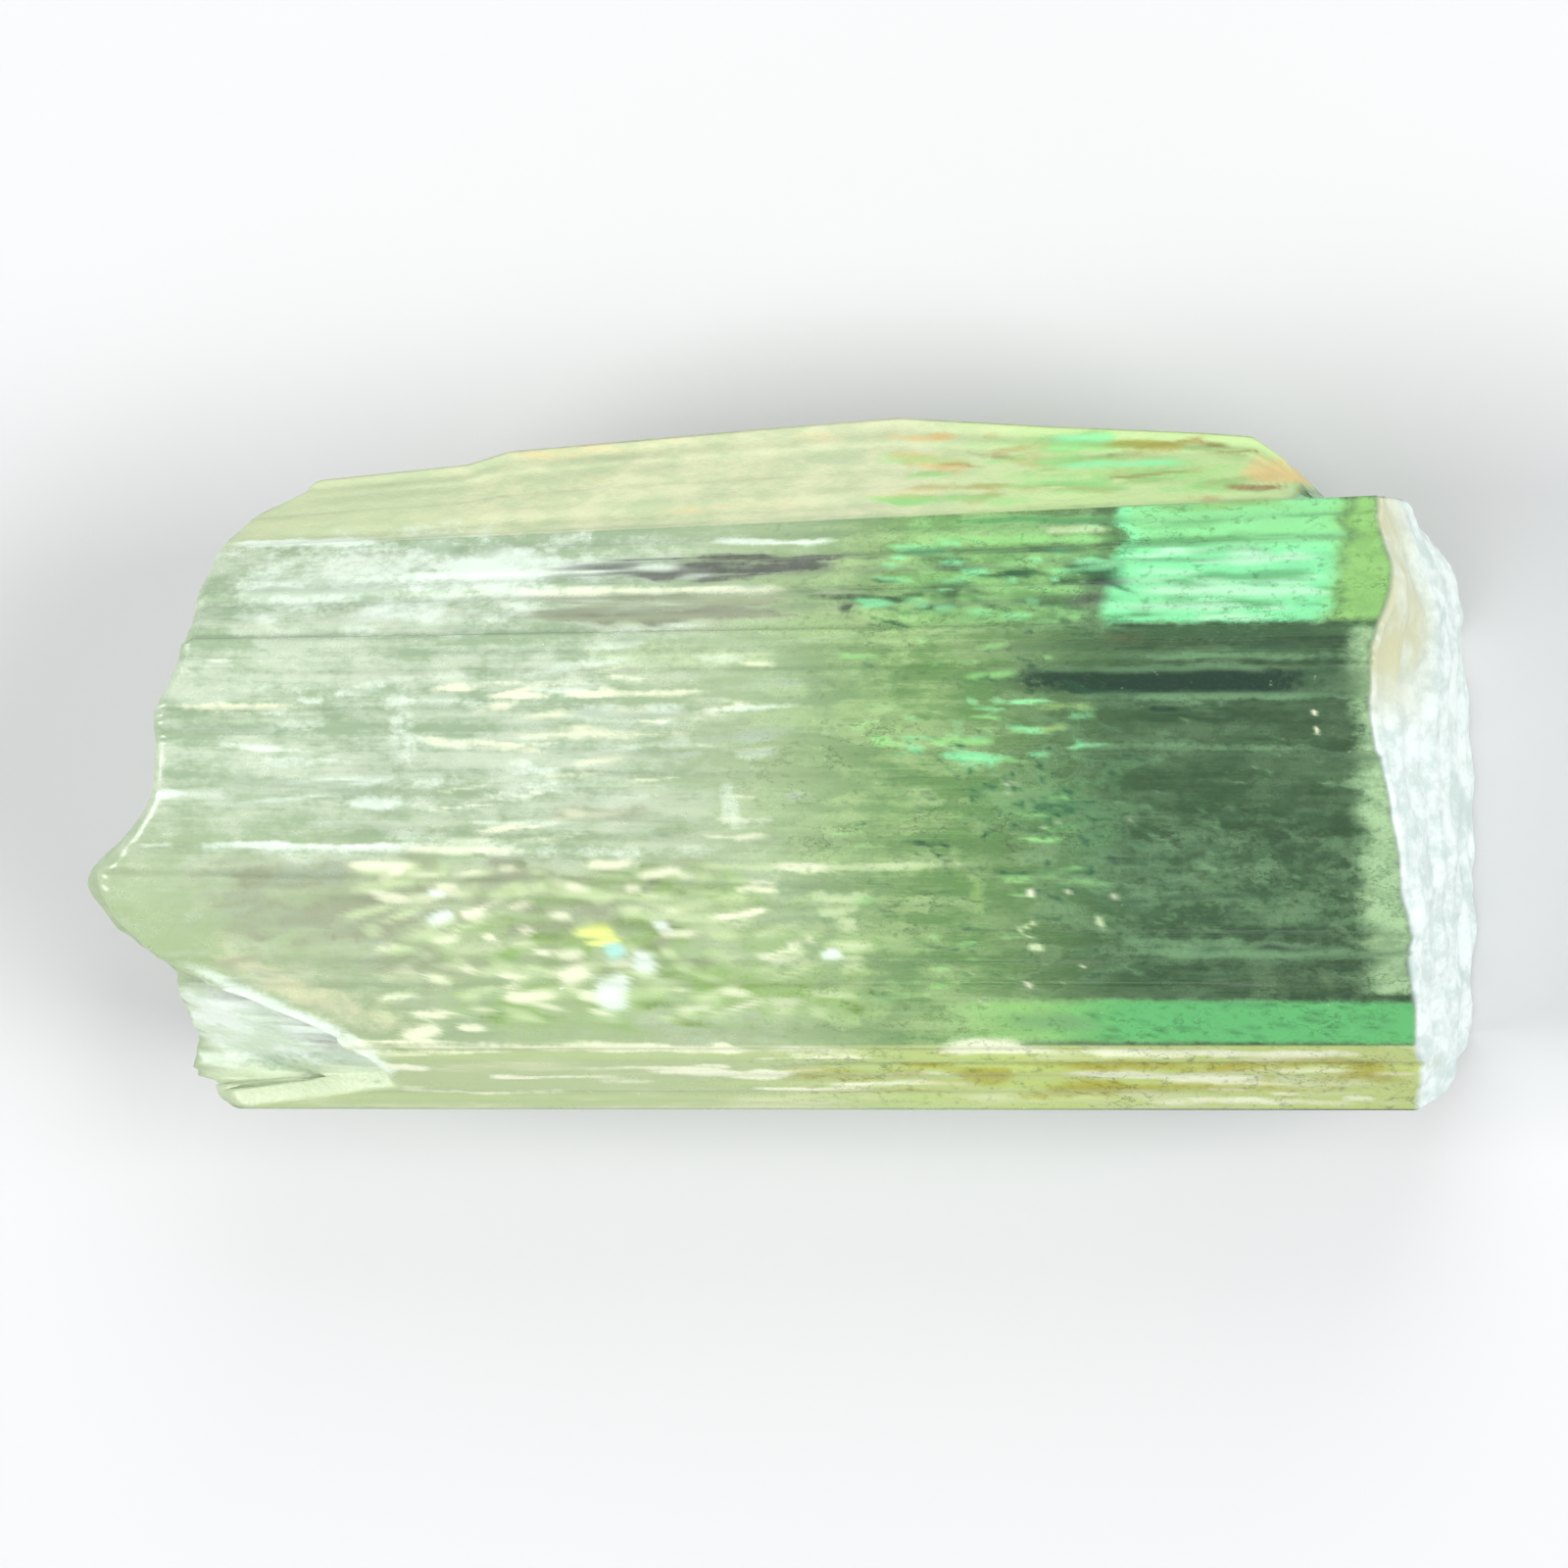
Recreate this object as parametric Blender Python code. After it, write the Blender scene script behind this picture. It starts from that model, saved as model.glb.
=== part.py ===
"""A loose bicolour tourmaline crystal, lying on one of its prism faces.

The c axis runs along X. The long faces of the prism carry the lengthwise striae of
tourmaline, a narrower crystal has grown parallel to it along its back as a ledge,
and both ends are broken: the pale end is worn, with a nub and a chipped corner, and
the dark end is a rough break across the prism.

The outline of the prism is a closed section in Y and Z. Each end is a height over
that section, in X, and the long walls run from one end to the other. Places in the
section are given as (across, up): "across" counts from the front side towards the
back, along Y, and "up" from the resting face, along Z. All are in millimetres.
"""

import math

import bmesh
import bpy
import numpy as np
from mathutils import Vector
from mathutils.geometry import delaunay_2d_cdt

MM = 0.001

# Driving dimensions.
WIDTH = 14.6  # across the prism with its ledge
HEIGHT = 9.3  # from the resting face to the crest
DARK_END_X = 14.72  # where the break at the dark end lies
STRIA_DEPTH = 0.13  # the deepest of the lengthwise grooves
WORN_RADIUS = 0.4  # rounding of the pale end's rim
CRISP_RADIUS = 0.16  # rounding of the dark end's rim
EDGE_BLEND = 0.10  # softening of the edge between the chip and the break
BREAK_GRID = 0.60  # spacing of the points on the two broken ends
GRID_JITTER = 0.25  # how far those points stray, as a share of the spacing
GRID_CLEARANCE = 0.45  # how far they keep from the rim, as a share of the spacing
SEED = 11

FRONT_Y = -WIDTH / 2
CORE = (6.8, 4.4)  # (across, up) of the middle, which the rounded rims draw in towards

# The corners of the section, counter-clockwise as seen from the dark end, from the
# front edge of the resting face round by the back. Each has its place at mid-length
# as (across, up), its drift in Y per millimetre of X, how far the ledge carries it
# out as (across, up), and the number of divisions of the face that follows it.
SECTION = (
    # name            across   up      drift    ledge          divisions
    ("rest_back",     9.95,    0.00,   0.010,   (0.0, 0.0),    8),
    ("rear_foot",     11.35,   1.75,   0.015,   (0.0, 0.0),    6),
    ("notch",         12.20,   3.70,   0.020,   (0.0, -0.1),   4),
    ("ledge_foot",    12.60,   5.10,   0.018,   (1.40, -0.6),  4),
    ("ledge_rim",     12.55,   6.55,   0.022,   (1.83, -0.7),  11),
    ("shoulder",      12.38,   7.50,   0.036,   (0.0, 0.0),    12),
    ("crest_back",    10.10,   9.15,   0.010,   (0.0, 0.0),    7),
    ("crest_front",   8.60,    HEIGHT, 0.000,   (0.0, 0.0),    14),
    ("mid_ridge",     5.40,    8.35,   -0.024,  (0.0, 0.0),    9),
    ("lower_ridge",   3.30,    7.60,   0.004,   (0.0, 0.0),    8),
    ("bevel_top",     1.38,    6.60,   0.009,   (0.0, 0.0),    9),
    ("side_top",      0.00,    4.90,   0.009,   (0.0, 0.0),    8),
    ("side_foot",     0.38,    2.50,   0.009,   (0.0, 0.0),    6),
    ("rest_front",    1.45,    0.00,   0.009,   (0.0, 0.0),    8),
)
RESTING_FACE = "rest_front"  # this face is flat and has no striae

# How far the ledge stands out, as a share of its reach, along X.
LEDGE = ((-14.0, 0.46), (-9.5, 0.62), (-6.3, 0.74), (-5.4, 0.88), (0.0, 1.04),
         (3.2, 1.12), (6.5, 0.96), (9.9, 0.82), (10.9, 0.76), (11.6, 0.50), (12.3, 0.02))

# Each groove: how far it may stray from its place, its depth as a share of the
# deepest, the X of its middle, and how far it runs to either side before it fades.
GROOVE_STRAY = 0.28
GROOVE_DEPTHS = (0.15, 1.0)
GROOVE_MIDDLES = (-10.0, 10.0)
GROOVE_REACHES = (7.0, 18.0)
GROOVE_FADES_FROM = 0.7

# The rim of the pale end on the upper faces, as (across, X): a slanted shoulder, a
# shallow hollow, the foot of the nub, a second hollow and the front corner.
PALE_RIM = ((0.0, -13.0), (0.3, -13.7), (0.9, -13.6), (1.6, -13.35), (2.3, -12.95),
            (2.8, -12.55), (3.3, -13.0), (3.9, -13.41), (5.0, -13.25), (6.3, -12.8),
            (8.5, -12.37), (9.7, -11.85), (11.3, -11.75), (12.1, -11.6), (12.7, -11.1),
            (13.3, -10.1), (14.5, -9.2))
PALE_LEAN = (6.0, 0.28)  # below this height the end leans in, by this much a millimetre
# The swellings of an end: (across, up), the radius of each as (across, up), the rise.
PALE_SWELLINGS = (
    ((4.95, 7.0), (1.05, 1.7), -1.25),  # the nub
    ((8.50, 3.2), (3.20, 1.6), -0.90),  # a low, shell-like swell
)
PALE_RIPPLES = ((3.1, 1.0, 0.10), (1.3, 2.0, 0.05))  # (wavelength, phase, height)

# The chip that takes off the front corner of the pale end.
CHIP_EDGE = (-12.0, (2.75, 7.4))  # X and (across, up) of a point on its upper edge
CHIP_SLOPE = (-3.1, 1.8)  # rise in X for each millimetre (across, up)
CHIP_FLOOR = (4.6, 7.0)  # below this height it flattens out, by this much a millimetre
CHIP_RIM = (0.4, 9.0)  # nearer the front than this a thin rim is left, in the same way

DARK_RIM = ((0.0, -0.30), (0.4, -0.22), (0.8, -0.08), (1.2, 0.0), (10.6, 0.0),
            (11.2, -0.10), (12.4, -0.52), (13.0, -0.62))  # (across, X past the end)
DARK_FOOT = (4.0, -0.35)  # from this height down, the break falls back by this much
DARK_SWELLINGS = (
    ((8.8, HEIGHT), (1.6, 2.6), -0.50),  # the hollow under the crest
    ((5.4, 0.0), (1.6, 2.5), 0.20),
)
DARK_RIPPLES = ((4.3, 3.0, 0.13), (1.7, 4.0, 0.08))
RIPPLE_WAVES = ((0.4, 1.0), (1.7, 1.37), (2.9, 0.81))  # (turn, share of wavelength)

# Along the walls, each ring of points lies at this share of the way from the pale
# end to the dark end. The rings crowd at both rims and where the ledge breaks off.
STATIONS = (0.0, 0.004, 0.016, 0.05, 0.11, 0.18, 0.26, 0.34, 0.42, 0.50, 0.58, 0.66,
            0.74, 0.80, 0.835, 0.855, 0.875, 0.90, 0.94, 0.975, 0.994, 1.0)
SETTLING_ROUNDS = 6  # enough for a point to settle on an end that drifts under it


def smoothstep(edge0, edge1, value):
    share = np.clip((value - edge0) / (edge1 - edge0), 0.0, 1.0)
    return share * share * (3.0 - 2.0 * share)


def curve(points, value):
    """Height at a value along a curve given as (place, height) points."""
    places, heights = np.array(points).T
    return np.interp(value, places, heights)


def swellings(table, across, up):
    """The sum of the rounded hills of one end."""
    total = 0.0
    for (at_across, at_up), (across_radius, up_radius), rise in table:
        square = ((across - at_across) / across_radius) ** 2
        square = square + ((up - at_up) / up_radius) ** 2
        total = total + rise * np.exp(-square)
    return total


def ripples(table, y, z):
    """Wandering waves over an end, each the sum of plane waves turned apart."""
    total = 0.0
    for wavelength, phase, height in table:
        for turn, stretch in RIPPLE_WAVES:
            along = y * math.cos(turn) + z * math.sin(turn)
            wave = np.sin(along * stretch * math.tau / wavelength + phase * turn)
            total = total + wave * height / len(RIPPLE_WAVES)
    return total


def beyond(threshold, value, rise):
    """Nothing up to a threshold, and from there a steady rise."""
    return rise * np.maximum(value - threshold, 0.0)


def chip(across, up):
    """X of the chipped corner, which hollows out the pale end where it stands higher."""
    edge_x, (edge_across, edge_up) = CHIP_EDGE
    across_slope, up_slope = CHIP_SLOPE
    x = edge_x + across_slope * (across - edge_across) + up_slope * (up - edge_up)
    x = x - beyond(-CHIP_FLOOR[0], -up, CHIP_FLOOR[1])
    return x - beyond(-CHIP_RIM[0], -across, CHIP_RIM[1])


def pale_break(y, z):
    """X of the break at the pale end, over a point of the section."""
    across = y - FRONT_Y
    x = curve(PALE_RIM, across) + swellings(PALE_SWELLINGS, across, z)
    x = x + beyond(-PALE_LEAN[0], -z, PALE_LEAN[1])
    x = EDGE_BLEND * np.logaddexp(x / EDGE_BLEND, chip(across, z) / EDGE_BLEND)
    return x + ripples(PALE_RIPPLES, y, z)


def dark_break(y, z):
    """X of the break at the dark end, over a point of the section."""
    across = y - FRONT_Y
    foot_height, foot_fall = DARK_FOOT
    x = DARK_END_X + curve(DARK_RIM, across) + swellings(DARK_SWELLINGS, across, z)
    x = x + foot_fall * smoothstep(0.0, foot_height, foot_height - z)
    return x + ripples(DARK_RIPPLES, y, z)


def corner(face, x):
    """(y, z) of the corner where a face of the section starts, at each X."""
    _, across, up, drift, (ledge_out, ledge_up), _ = SECTION[face % len(SECTION)]
    reach = curve(LEDGE, x)
    y = FRONT_Y + across + drift * x + ledge_out * reach
    return np.stack([y, up + ledge_up * reach], axis=-1)


def section_layout():
    """One row for each point round the section: its face, its share of the way along
    that face, and the depth, the middle and the reach of the groove that it lies in."""
    rng = np.random.default_rng(SEED)
    rows = []
    for face, (name, *_, divisions) in enumerate(SECTION):
        for step in range(divisions):
            stray = rng.uniform(-GROOVE_STRAY, GROOVE_STRAY)
            depth = rng.uniform(*GROOVE_DEPTHS) * STRIA_DEPTH
            middle, reach = rng.uniform(*GROOVE_MIDDLES), rng.uniform(*GROOVE_REACHES)
            if step == 0 or name == RESTING_FACE:
                stray = 0.0
            if step % 2 == 0 or name == RESTING_FACE:
                depth = 0.0
            rows.append((face, (step + stray) / divisions, depth, middle, reach))
    return rows


def section_point(row, x):
    """(y, z) of one point of the section at each X, its groove included."""
    face, share, depth, middle, reach = row
    start, end = corner(face, x), corner(face + 1, x)
    along = end - start
    length = np.linalg.norm(along, axis=-1, keepdims=True)
    inward = np.stack([-along[..., 1], along[..., 0]], axis=-1) / length
    shape = 1.0 - smoothstep(reach * GROOVE_FADES_FROM, reach, np.abs(x - middle))
    return start + along * share + inward * (depth * shape)[..., None]


def rim_inset(distance, radius):
    """How far a rounded rim has drawn in, at a distance from the end of the wall."""
    short = np.clip(radius - distance, 0.0, radius)
    return radius - np.sqrt(radius**2 - short**2)


def wall_point(row, station):
    """One point of the walls, drawn in where the rims are rounded."""
    x = np.array(0.0)
    for _ in range(SETTLING_ROUNDS):
        point = section_point(row, x)
        pale, dark = pale_break(*point), dark_break(*point)
        x = pale + (dark - pale) * station
    inset = rim_inset(x - pale, WORN_RADIUS) + rim_inset(dark - x, CRISP_RADIUS)
    inward = np.array([FRONT_Y + CORE[0], CORE[1]]) - point
    y, z = point + inward / np.linalg.norm(inward) * inset
    return x, y, z


def is_inside(ring, point):
    """Whether a point lies within a closed ring, by the crossings of a ray from it."""
    ends = np.roll(ring, -1, axis=0)
    spans = (ring[:, 1] > point[1]) != (ends[:, 1] > point[1])
    share = (point[1] - ring[spans, 1]) / (ends[spans, 1] - ring[spans, 1])
    crossings = ring[spans, 0] + share * (ends[spans, 0] - ring[spans, 0])
    return np.count_nonzero(crossings > point[0]) % 2 == 1


def break_points(ring):
    """Points of a jittered grid that lie inside a ring, clear of its edge."""
    rng = np.random.default_rng(SEED + 1)
    low, high = ring.min(axis=0), ring.max(axis=0)
    points = []
    for y in np.arange(low[0], high[0], BREAK_GRID):
        for z in np.arange(low[1], high[1], BREAK_GRID):
            stray = rng.uniform(-GRID_JITTER, GRID_JITTER, 2)
            point = np.array([y, z]) + stray * BREAK_GRID
            clearance = np.linalg.norm(ring - point, axis=1).min() / BREAK_GRID
            if clearance > GRID_CLEARANCE and is_inside(ring, point):
                points.append(point)
    return np.array(points)


def add_break(bm, ring_verts, height, outward):
    """Closes one end with a broken surface, stretched over the last ring of a wall."""
    ring = np.array([(v.co.y, v.co.z) for v in ring_verts]) / MM
    inner = break_points(ring)
    flat = [Vector(point) for point in np.vstack([ring, inner])]
    count = len(ring)
    edges = [(i, (i + 1) % count) for i in range(count)]
    _, _, faces, origins, _, _ = delaunay_2d_cdt(flat, edges, [], 1, 1e-5)
    verts = list(ring_verts)
    for y, z in inner:
        verts.append(bm.verts.new(Vector((height(y, z), y, z)) * MM))
    for face in faces:
        corners = [verts[origins[i][0]] for i in face]
        bm.faces.new(corners if outward > 0 else corners[::-1])


def centre_on_origin(bm):
    """Moves the crystal so that the foot of its bounding box is centred."""
    places = np.array([v.co for v in bm.verts])
    low, high = places.min(axis=0), places.max(axis=0)
    middle = (low + high) / 2
    shift = -Vector((middle[0], middle[1], low[2]))
    bmesh.ops.translate(bm, verts=bm.verts, vec=shift)


def build_crystal():
    bm = bmesh.new()
    layout = section_layout()
    rings = [
        [bm.verts.new(Vector(wall_point(row, station)) * MM) for row in layout]
        for station in STATIONS
    ]
    for ring, following in zip(rings, rings[1:]):
        for i in range(len(layout)):
            j = (i + 1) % len(layout)
            bm.faces.new((ring[i], ring[j], following[j], following[i]))
    add_break(bm, rings[0], pale_break, -1)
    add_break(bm, rings[-1], dark_break, 1)
    bmesh.ops.triangulate(bm, faces=bm.faces)
    bmesh.ops.recalc_face_normals(bm, faces=bm.faces)
    centre_on_origin(bm)
    mesh = bpy.data.meshes.new("tourmaline_crystal")
    bm.to_mesh(mesh)
    bm.free()
    return bpy.data.objects.new("tourmaline_crystal", mesh)


def tourmaline():
    material = bpy.data.materials.new("tourmaline")
    material.use_nodes = True
    shader = material.node_tree.nodes["Principled BSDF"]
    shader.inputs["Base Color"].default_value = (0.45, 0.72, 0.46, 1.0)
    shader.inputs["Roughness"].default_value = 0.12
    shader.inputs["Metallic"].default_value = 0.0
    shader.inputs["Transmission Weight"].default_value = 0.85
    shader.inputs["IOR"].default_value = 1.63
    return material


def main():
    for obj in list(bpy.data.objects):
        bpy.data.objects.remove(obj)
    crystal = build_crystal()
    crystal.data.materials.append(tourmaline())
    bpy.context.scene.collection.objects.link(crystal)


main()
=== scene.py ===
"""The looks of the bicolour tourmaline crystal.

The crystal is made again at high resolution from the same section, ends and grooves
as its solid, with finer striae on the walls and a crumbled relief on the breaks.
Small fractures lie inside it. One material carries the colour zones of the body, as
places in X and Y, and the finishes of its faces, as attributes of the mesh; among its
marks are painted highlights and reflections. Places and sizes are in millimetres unless
a name says otherwise.
"""

import math

import bpy
import numpy as np
from mathutils import Matrix, Vector
from mathutils.bvhtree import BVHTree
from mathutils.geometry import delaunay_2d_cdt


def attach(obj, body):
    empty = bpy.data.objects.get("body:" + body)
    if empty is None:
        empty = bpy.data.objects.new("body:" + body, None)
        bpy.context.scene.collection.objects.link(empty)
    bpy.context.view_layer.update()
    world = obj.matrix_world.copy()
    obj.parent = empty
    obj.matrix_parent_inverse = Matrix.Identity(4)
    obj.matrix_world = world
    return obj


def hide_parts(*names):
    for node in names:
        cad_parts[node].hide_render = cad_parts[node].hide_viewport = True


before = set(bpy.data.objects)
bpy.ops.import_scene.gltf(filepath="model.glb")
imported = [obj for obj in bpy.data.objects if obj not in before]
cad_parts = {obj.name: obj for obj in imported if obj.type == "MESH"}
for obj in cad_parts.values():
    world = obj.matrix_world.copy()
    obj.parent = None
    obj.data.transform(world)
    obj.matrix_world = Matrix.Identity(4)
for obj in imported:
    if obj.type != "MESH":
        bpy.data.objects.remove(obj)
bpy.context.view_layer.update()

MM = 0.001

# ---------------- sizes, as in the solid

WIDTH = 14.6  # across the prism with its ledge
HEIGHT = 9.3  # from the resting face to the crest
DARK_END_X = 14.72  # where the break at the dark end lies
STRIA_DEPTH = 0.13  # the deepest of the lengthwise grooves
WORN_RADIUS = 0.4  # rounding of the pale end's rim
CRISP_RADIUS = 0.16  # rounding of the dark end's rim
EDGE_BLEND = 0.10  # softening of the edge between the chip and the break
SEED = 11  # of the grooves
FRONT_Y = -WIDTH / 2
CORE = (6.8, 4.4)  # (across, up) of the middle, which the rounded rims draw in towards

# The corners of the section, up the back and down the front: place at mid-length as
# (across, up), drift in Y per millimetre of X, how far the ledge carries the corner out
# as (across, up), and the divisions of the face that follows it.
SECTION = (
    # name, across, up, drift, ledge, divisions
    ("rest_back", 9.95, 0.00, 0.010, (0.0, 0.0), 8),
    ("rear_foot", 11.35, 1.75, 0.015, (0.0, 0.0), 6),
    ("notch", 12.20, 3.70, 0.020, (0.0, -0.1), 4),
    ("ledge_foot", 12.60, 5.10, 0.018, (1.40, -0.6), 4),
    ("ledge_rim", 12.55, 6.55, 0.022, (1.83, -0.7), 11),
    ("shoulder", 12.38, 7.50, 0.036, (0.0, 0.0), 12),
    ("crest_back", 10.10, 9.15, 0.010, (0.0, 0.0), 7),
    ("crest_front", 8.60, HEIGHT, 0.000, (0.0, 0.0), 14),
    ("mid_ridge", 5.40, 8.35, -0.024, (0.0, 0.0), 9),
    ("lower_ridge", 3.30, 7.60, 0.004, (0.0, 0.0), 8),
    ("bevel_top", 1.38, 6.60, 0.009, (0.0, 0.0), 9),
    ("side_top", 0.00, 4.90, 0.009, (0.0, 0.0), 8),
    ("side_foot", 0.38, 2.50, 0.009, (0.0, 0.0), 6),
    ("rest_front", 1.45, 0.00, 0.009, (0.0, 0.0), 8),
)
FACES = [name for name, *_ in SECTION]
RESTING_FACE = "rest_front"
LEDGE_FACES = ("notch", "ledge_foot", "ledge_rim")
BEVEL_FACES = ("bevel_top",)

# How far the ledge stands out, as a share of its reach, along X.
LEDGE = ((-14.0, 0.46), (-9.5, 0.62), (-6.3, 0.74), (-5.4, 0.88), (0.0, 1.04),
         (3.2, 1.12), (6.5, 0.96), (9.9, 0.82), (10.9, 0.76), (11.6, 0.50), (12.3, 0.02))

# Each groove: how far it may stray from its place, its depth as a share of the
# deepest, the X of its middle, and how far it runs to either side before it fades.
GROOVE_STRAY = 0.28
GROOVE_DEPTHS = (0.15, 1.0)
GROOVE_MIDDLES = (-10.0, 10.0)
GROOVE_REACHES = (7.0, 18.0)
GROOVE_FADES_FROM = 0.7

# The rim of the pale end on the upper faces, as (across, X): a slanted shoulder, a
# shallow hollow, the foot of the nub, a second hollow and the front corner.
PALE_RIM = ((0.0, -13.0), (0.3, -13.7), (0.9, -13.6), (1.6, -13.35), (2.3, -12.95),
            (2.8, -12.55), (3.3, -13.0), (3.9, -13.41), (5.0, -13.25), (6.3, -12.8),
            (8.5, -12.37), (9.7, -11.85), (11.3, -11.75), (12.1, -11.6), (12.7, -11.1),
            (13.3, -10.1), (14.5, -9.2))
PALE_LEAN = (6.0, 0.28)  # below this height the end leans in, by this much a millimetre
# The swellings of an end: (across, up), the radius of each as (across, up), the rise.
PALE_SWELLINGS = (
    ((4.95, 7.0), (1.05, 1.7), -1.25),  # the nub
    ((8.50, 3.2), (3.20, 1.6), -0.90),  # a low, shell-like swell
)
PALE_RIPPLES = ((3.1, 1.0, 0.10), (1.3, 2.0, 0.05))  # (wavelength, phase, height)

# The chip that takes off the front corner of the pale end.
CHIP_EDGE = (-12.0, (2.75, 7.4))  # X and (across, up) of a point on its upper edge
CHIP_SLOPE = (-3.1, 1.8)  # rise in X for each millimetre (across, up)
CHIP_FLOOR = (4.6, 7.0)  # below this height it flattens out, by this much a millimetre
CHIP_RIM = (0.4, 9.0)  # nearer the front than this a thin rim is left, in the same way

DARK_RIM = ((0.0, -0.30), (0.4, -0.22), (0.8, -0.08), (1.2, 0.0), (10.6, 0.0),
            (11.2, -0.10), (12.4, -0.52), (13.0, -0.62))  # (across, X past the end)
DARK_FOOT = (4.0, -0.35)  # from this height down, the break falls back by this much
DARK_SWELLINGS = (
    ((8.8, HEIGHT), (1.6, 2.6), -0.50),  # the hollow under the crest
    ((5.4, 0.0), (1.6, 2.5), 0.20),
)
DARK_RIPPLES = ((4.3, 3.0, 0.13), (1.7, 4.0, 0.08))
RIPPLE_WAVES = ((0.4, 1.0), (1.7, 1.37), (2.9, 0.81))  # (turn, share of wavelength)
SETTLING_ROUNDS = 6  # enough for a point to settle on an end that drifts under it

# ---------------- sizes of the fine surface

FINE_STEPS = 4  # points round the section for each of the solid's own
BODY_RINGS = 170
RIM_RINGS = 12
RIM_SHARE = 0.025  # length of the closely ringed part at each end
BREAK_GRID = 0.15  # spacing of the points on the two broken ends
GRID_JITTER = 0.3  # how far those points stray, as a share of the spacing
GRID_CLEARANCE = 0.5  # how far they keep from the rim, as a share of the spacing
WELD = 1e-5  # points nearer than this are one

# Noises of the relief: (width, length, depth) of each kind.
WALL_STRIAE = ((0.62, 11.0, 0.016), (0.27, 6.0, 0.008), (0.14, 3.5, 0.004))
LEDGE_LUMPS = ((1.10, 2.6, 0.07), (0.42, 0.9, 0.03), (0.20, 0.4, 0.012))
REST_STRIAE = ((0.62, 11.0, 0.010),)
DARK_CRUMB = ((0.9, 0.9, 0.09), (0.38, 0.5, 0.05), (0.2, 0.2, 0.02))
PALE_CRUMB = ((1.0, 1.0, 0.05), (0.4, 0.4, 0.02))
LEDGE_SMOOTHING = 0.6  # share of the grooves that is lost on the ledge
CORNER_CLEARANCE = 0.2  # the fine relief fades out towards the edges of the prism
LATTICE = 97  # size of the table of random values behind the noise

# The seeds of the scene's own random draws.
WALL_SEED, LEDGE_SEED, REST_SEED = SEED + 10, SEED + 20, SEED + 30
PALE_CRUMB_SEED, DARK_CRUMB_SEED = SEED + 40, SEED + 50
PALE_GRID_SEED, DARK_GRID_SEED = SEED + 60, SEED + 61
FLAKE_SEED = SEED + 70
RAGGED_SEED, ZONE_SEED, FLECK_SEED = SEED + 80, SEED + 83, SEED + 84

# Where each part of the surface fades in, from 0 to 1.
LEDGE_RELIEF = (0.0, 0.3)  # of the ledge's reach: its lumps
LEDGE_LOOK = (0.05, 0.3)  # of the ledge's reach: its colour
WORN_LOOK = (0.45, 0.0)  # distance from the pale break
FROST_LOOK = (0.22, 0.04)  # distance from the dark break
CHIP_LOOK = (-0.25, 0.25)  # how far the chip lies inside the worn break
UPPER_LOOK = (3.4, 4.4)  # height from which the upper faces carry marks

# ---------------- marks on the upper faces

# Colours as the screen shows them.
# The white "sheen" is laid as painted highlight on the crest and along ridges and edges, as the
# painted flash of cracks inside, and as a few whitish hazes.
PALETTE = {
    "sheen": (230, 244, 230), "cream": (236, 240, 208), "silver": (164, 180, 156),
    "slate": (98, 102, 94), "stone": (154, 162, 134), "sage": (200, 218, 170),
    "moss": (146, 178, 108), "olive": (108, 136, 70), "gold": (238, 250, 146),
    "ice": (176, 226, 214), "ochre": (168, 166, 68), "peach": (222, 190, 128),
    "tan": (182, 172, 110), "brown": (146, 118, 68), "mint": (146, 232, 166),
    "leaf": (150, 212, 130), "fern": (84, 150, 92), "pine": (40, 84, 56),
    "lichen": (112, 152, 110), "umber": (88, 88, 56), "black": (24, 54, 38),
    "fringe": (172, 206, 156), "emerald": (100, 186, 112), "meadow": (150, 206, 118),
    "jade_highlight": (142, 242, 172), "sand": (206, 208, 172), "mint_highlight": (196, 248, 208),
}

# Zones with straight sides on the upper faces: colour, share, span in X, span in Y,
# and the softness of the edges across X and across Y.
ZONES = (
    ("fringe", 0.75, (13.45, 15.5), (-4.7, 2.9), 0.40, 0.10),
    ("leaf", 0.50, (3.4, 8.3), (2.9, 5.3), 0.80, 0.20),
    ("lichen", 0.35, (6.5, 13.3), (-3.9, -1.2), 0.80, 0.60),
    ("pine", 0.12, (6.2, 13.3), (2.45, 2.85), 2.20, 0.16),
    ("black", 0.95, (6.0, 13.2), (1.50, 2.05), 2.20, 0.14),
    ("pine", 0.15, (7.4, 13.6), (-4.80, -3.95), 1.00, 0.12),
    ("meadow", 0.70, (4.6, 8.6), (-5.72, -4.84), 1.60, 0.12),
    ("emerald", 0.95, (7.2, 15.5), (-5.72, -4.84), 1.20, 0.10),
    # The bright mint field: the crystal's green under a painted reflection, on the facet that
    # catches the light.
    ("jade_highlight", 0.97, (8.3, 13.0), (2.98, 5.6), 0.16, 0.14),
    ("leaf", 0.50, (8.6, 13.0), (4.60, 5.6), 0.20, 0.20),
    ("meadow", 0.88, (13.0, 15.5), (2.98, 5.6), 0.45, 0.14),
)

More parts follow.
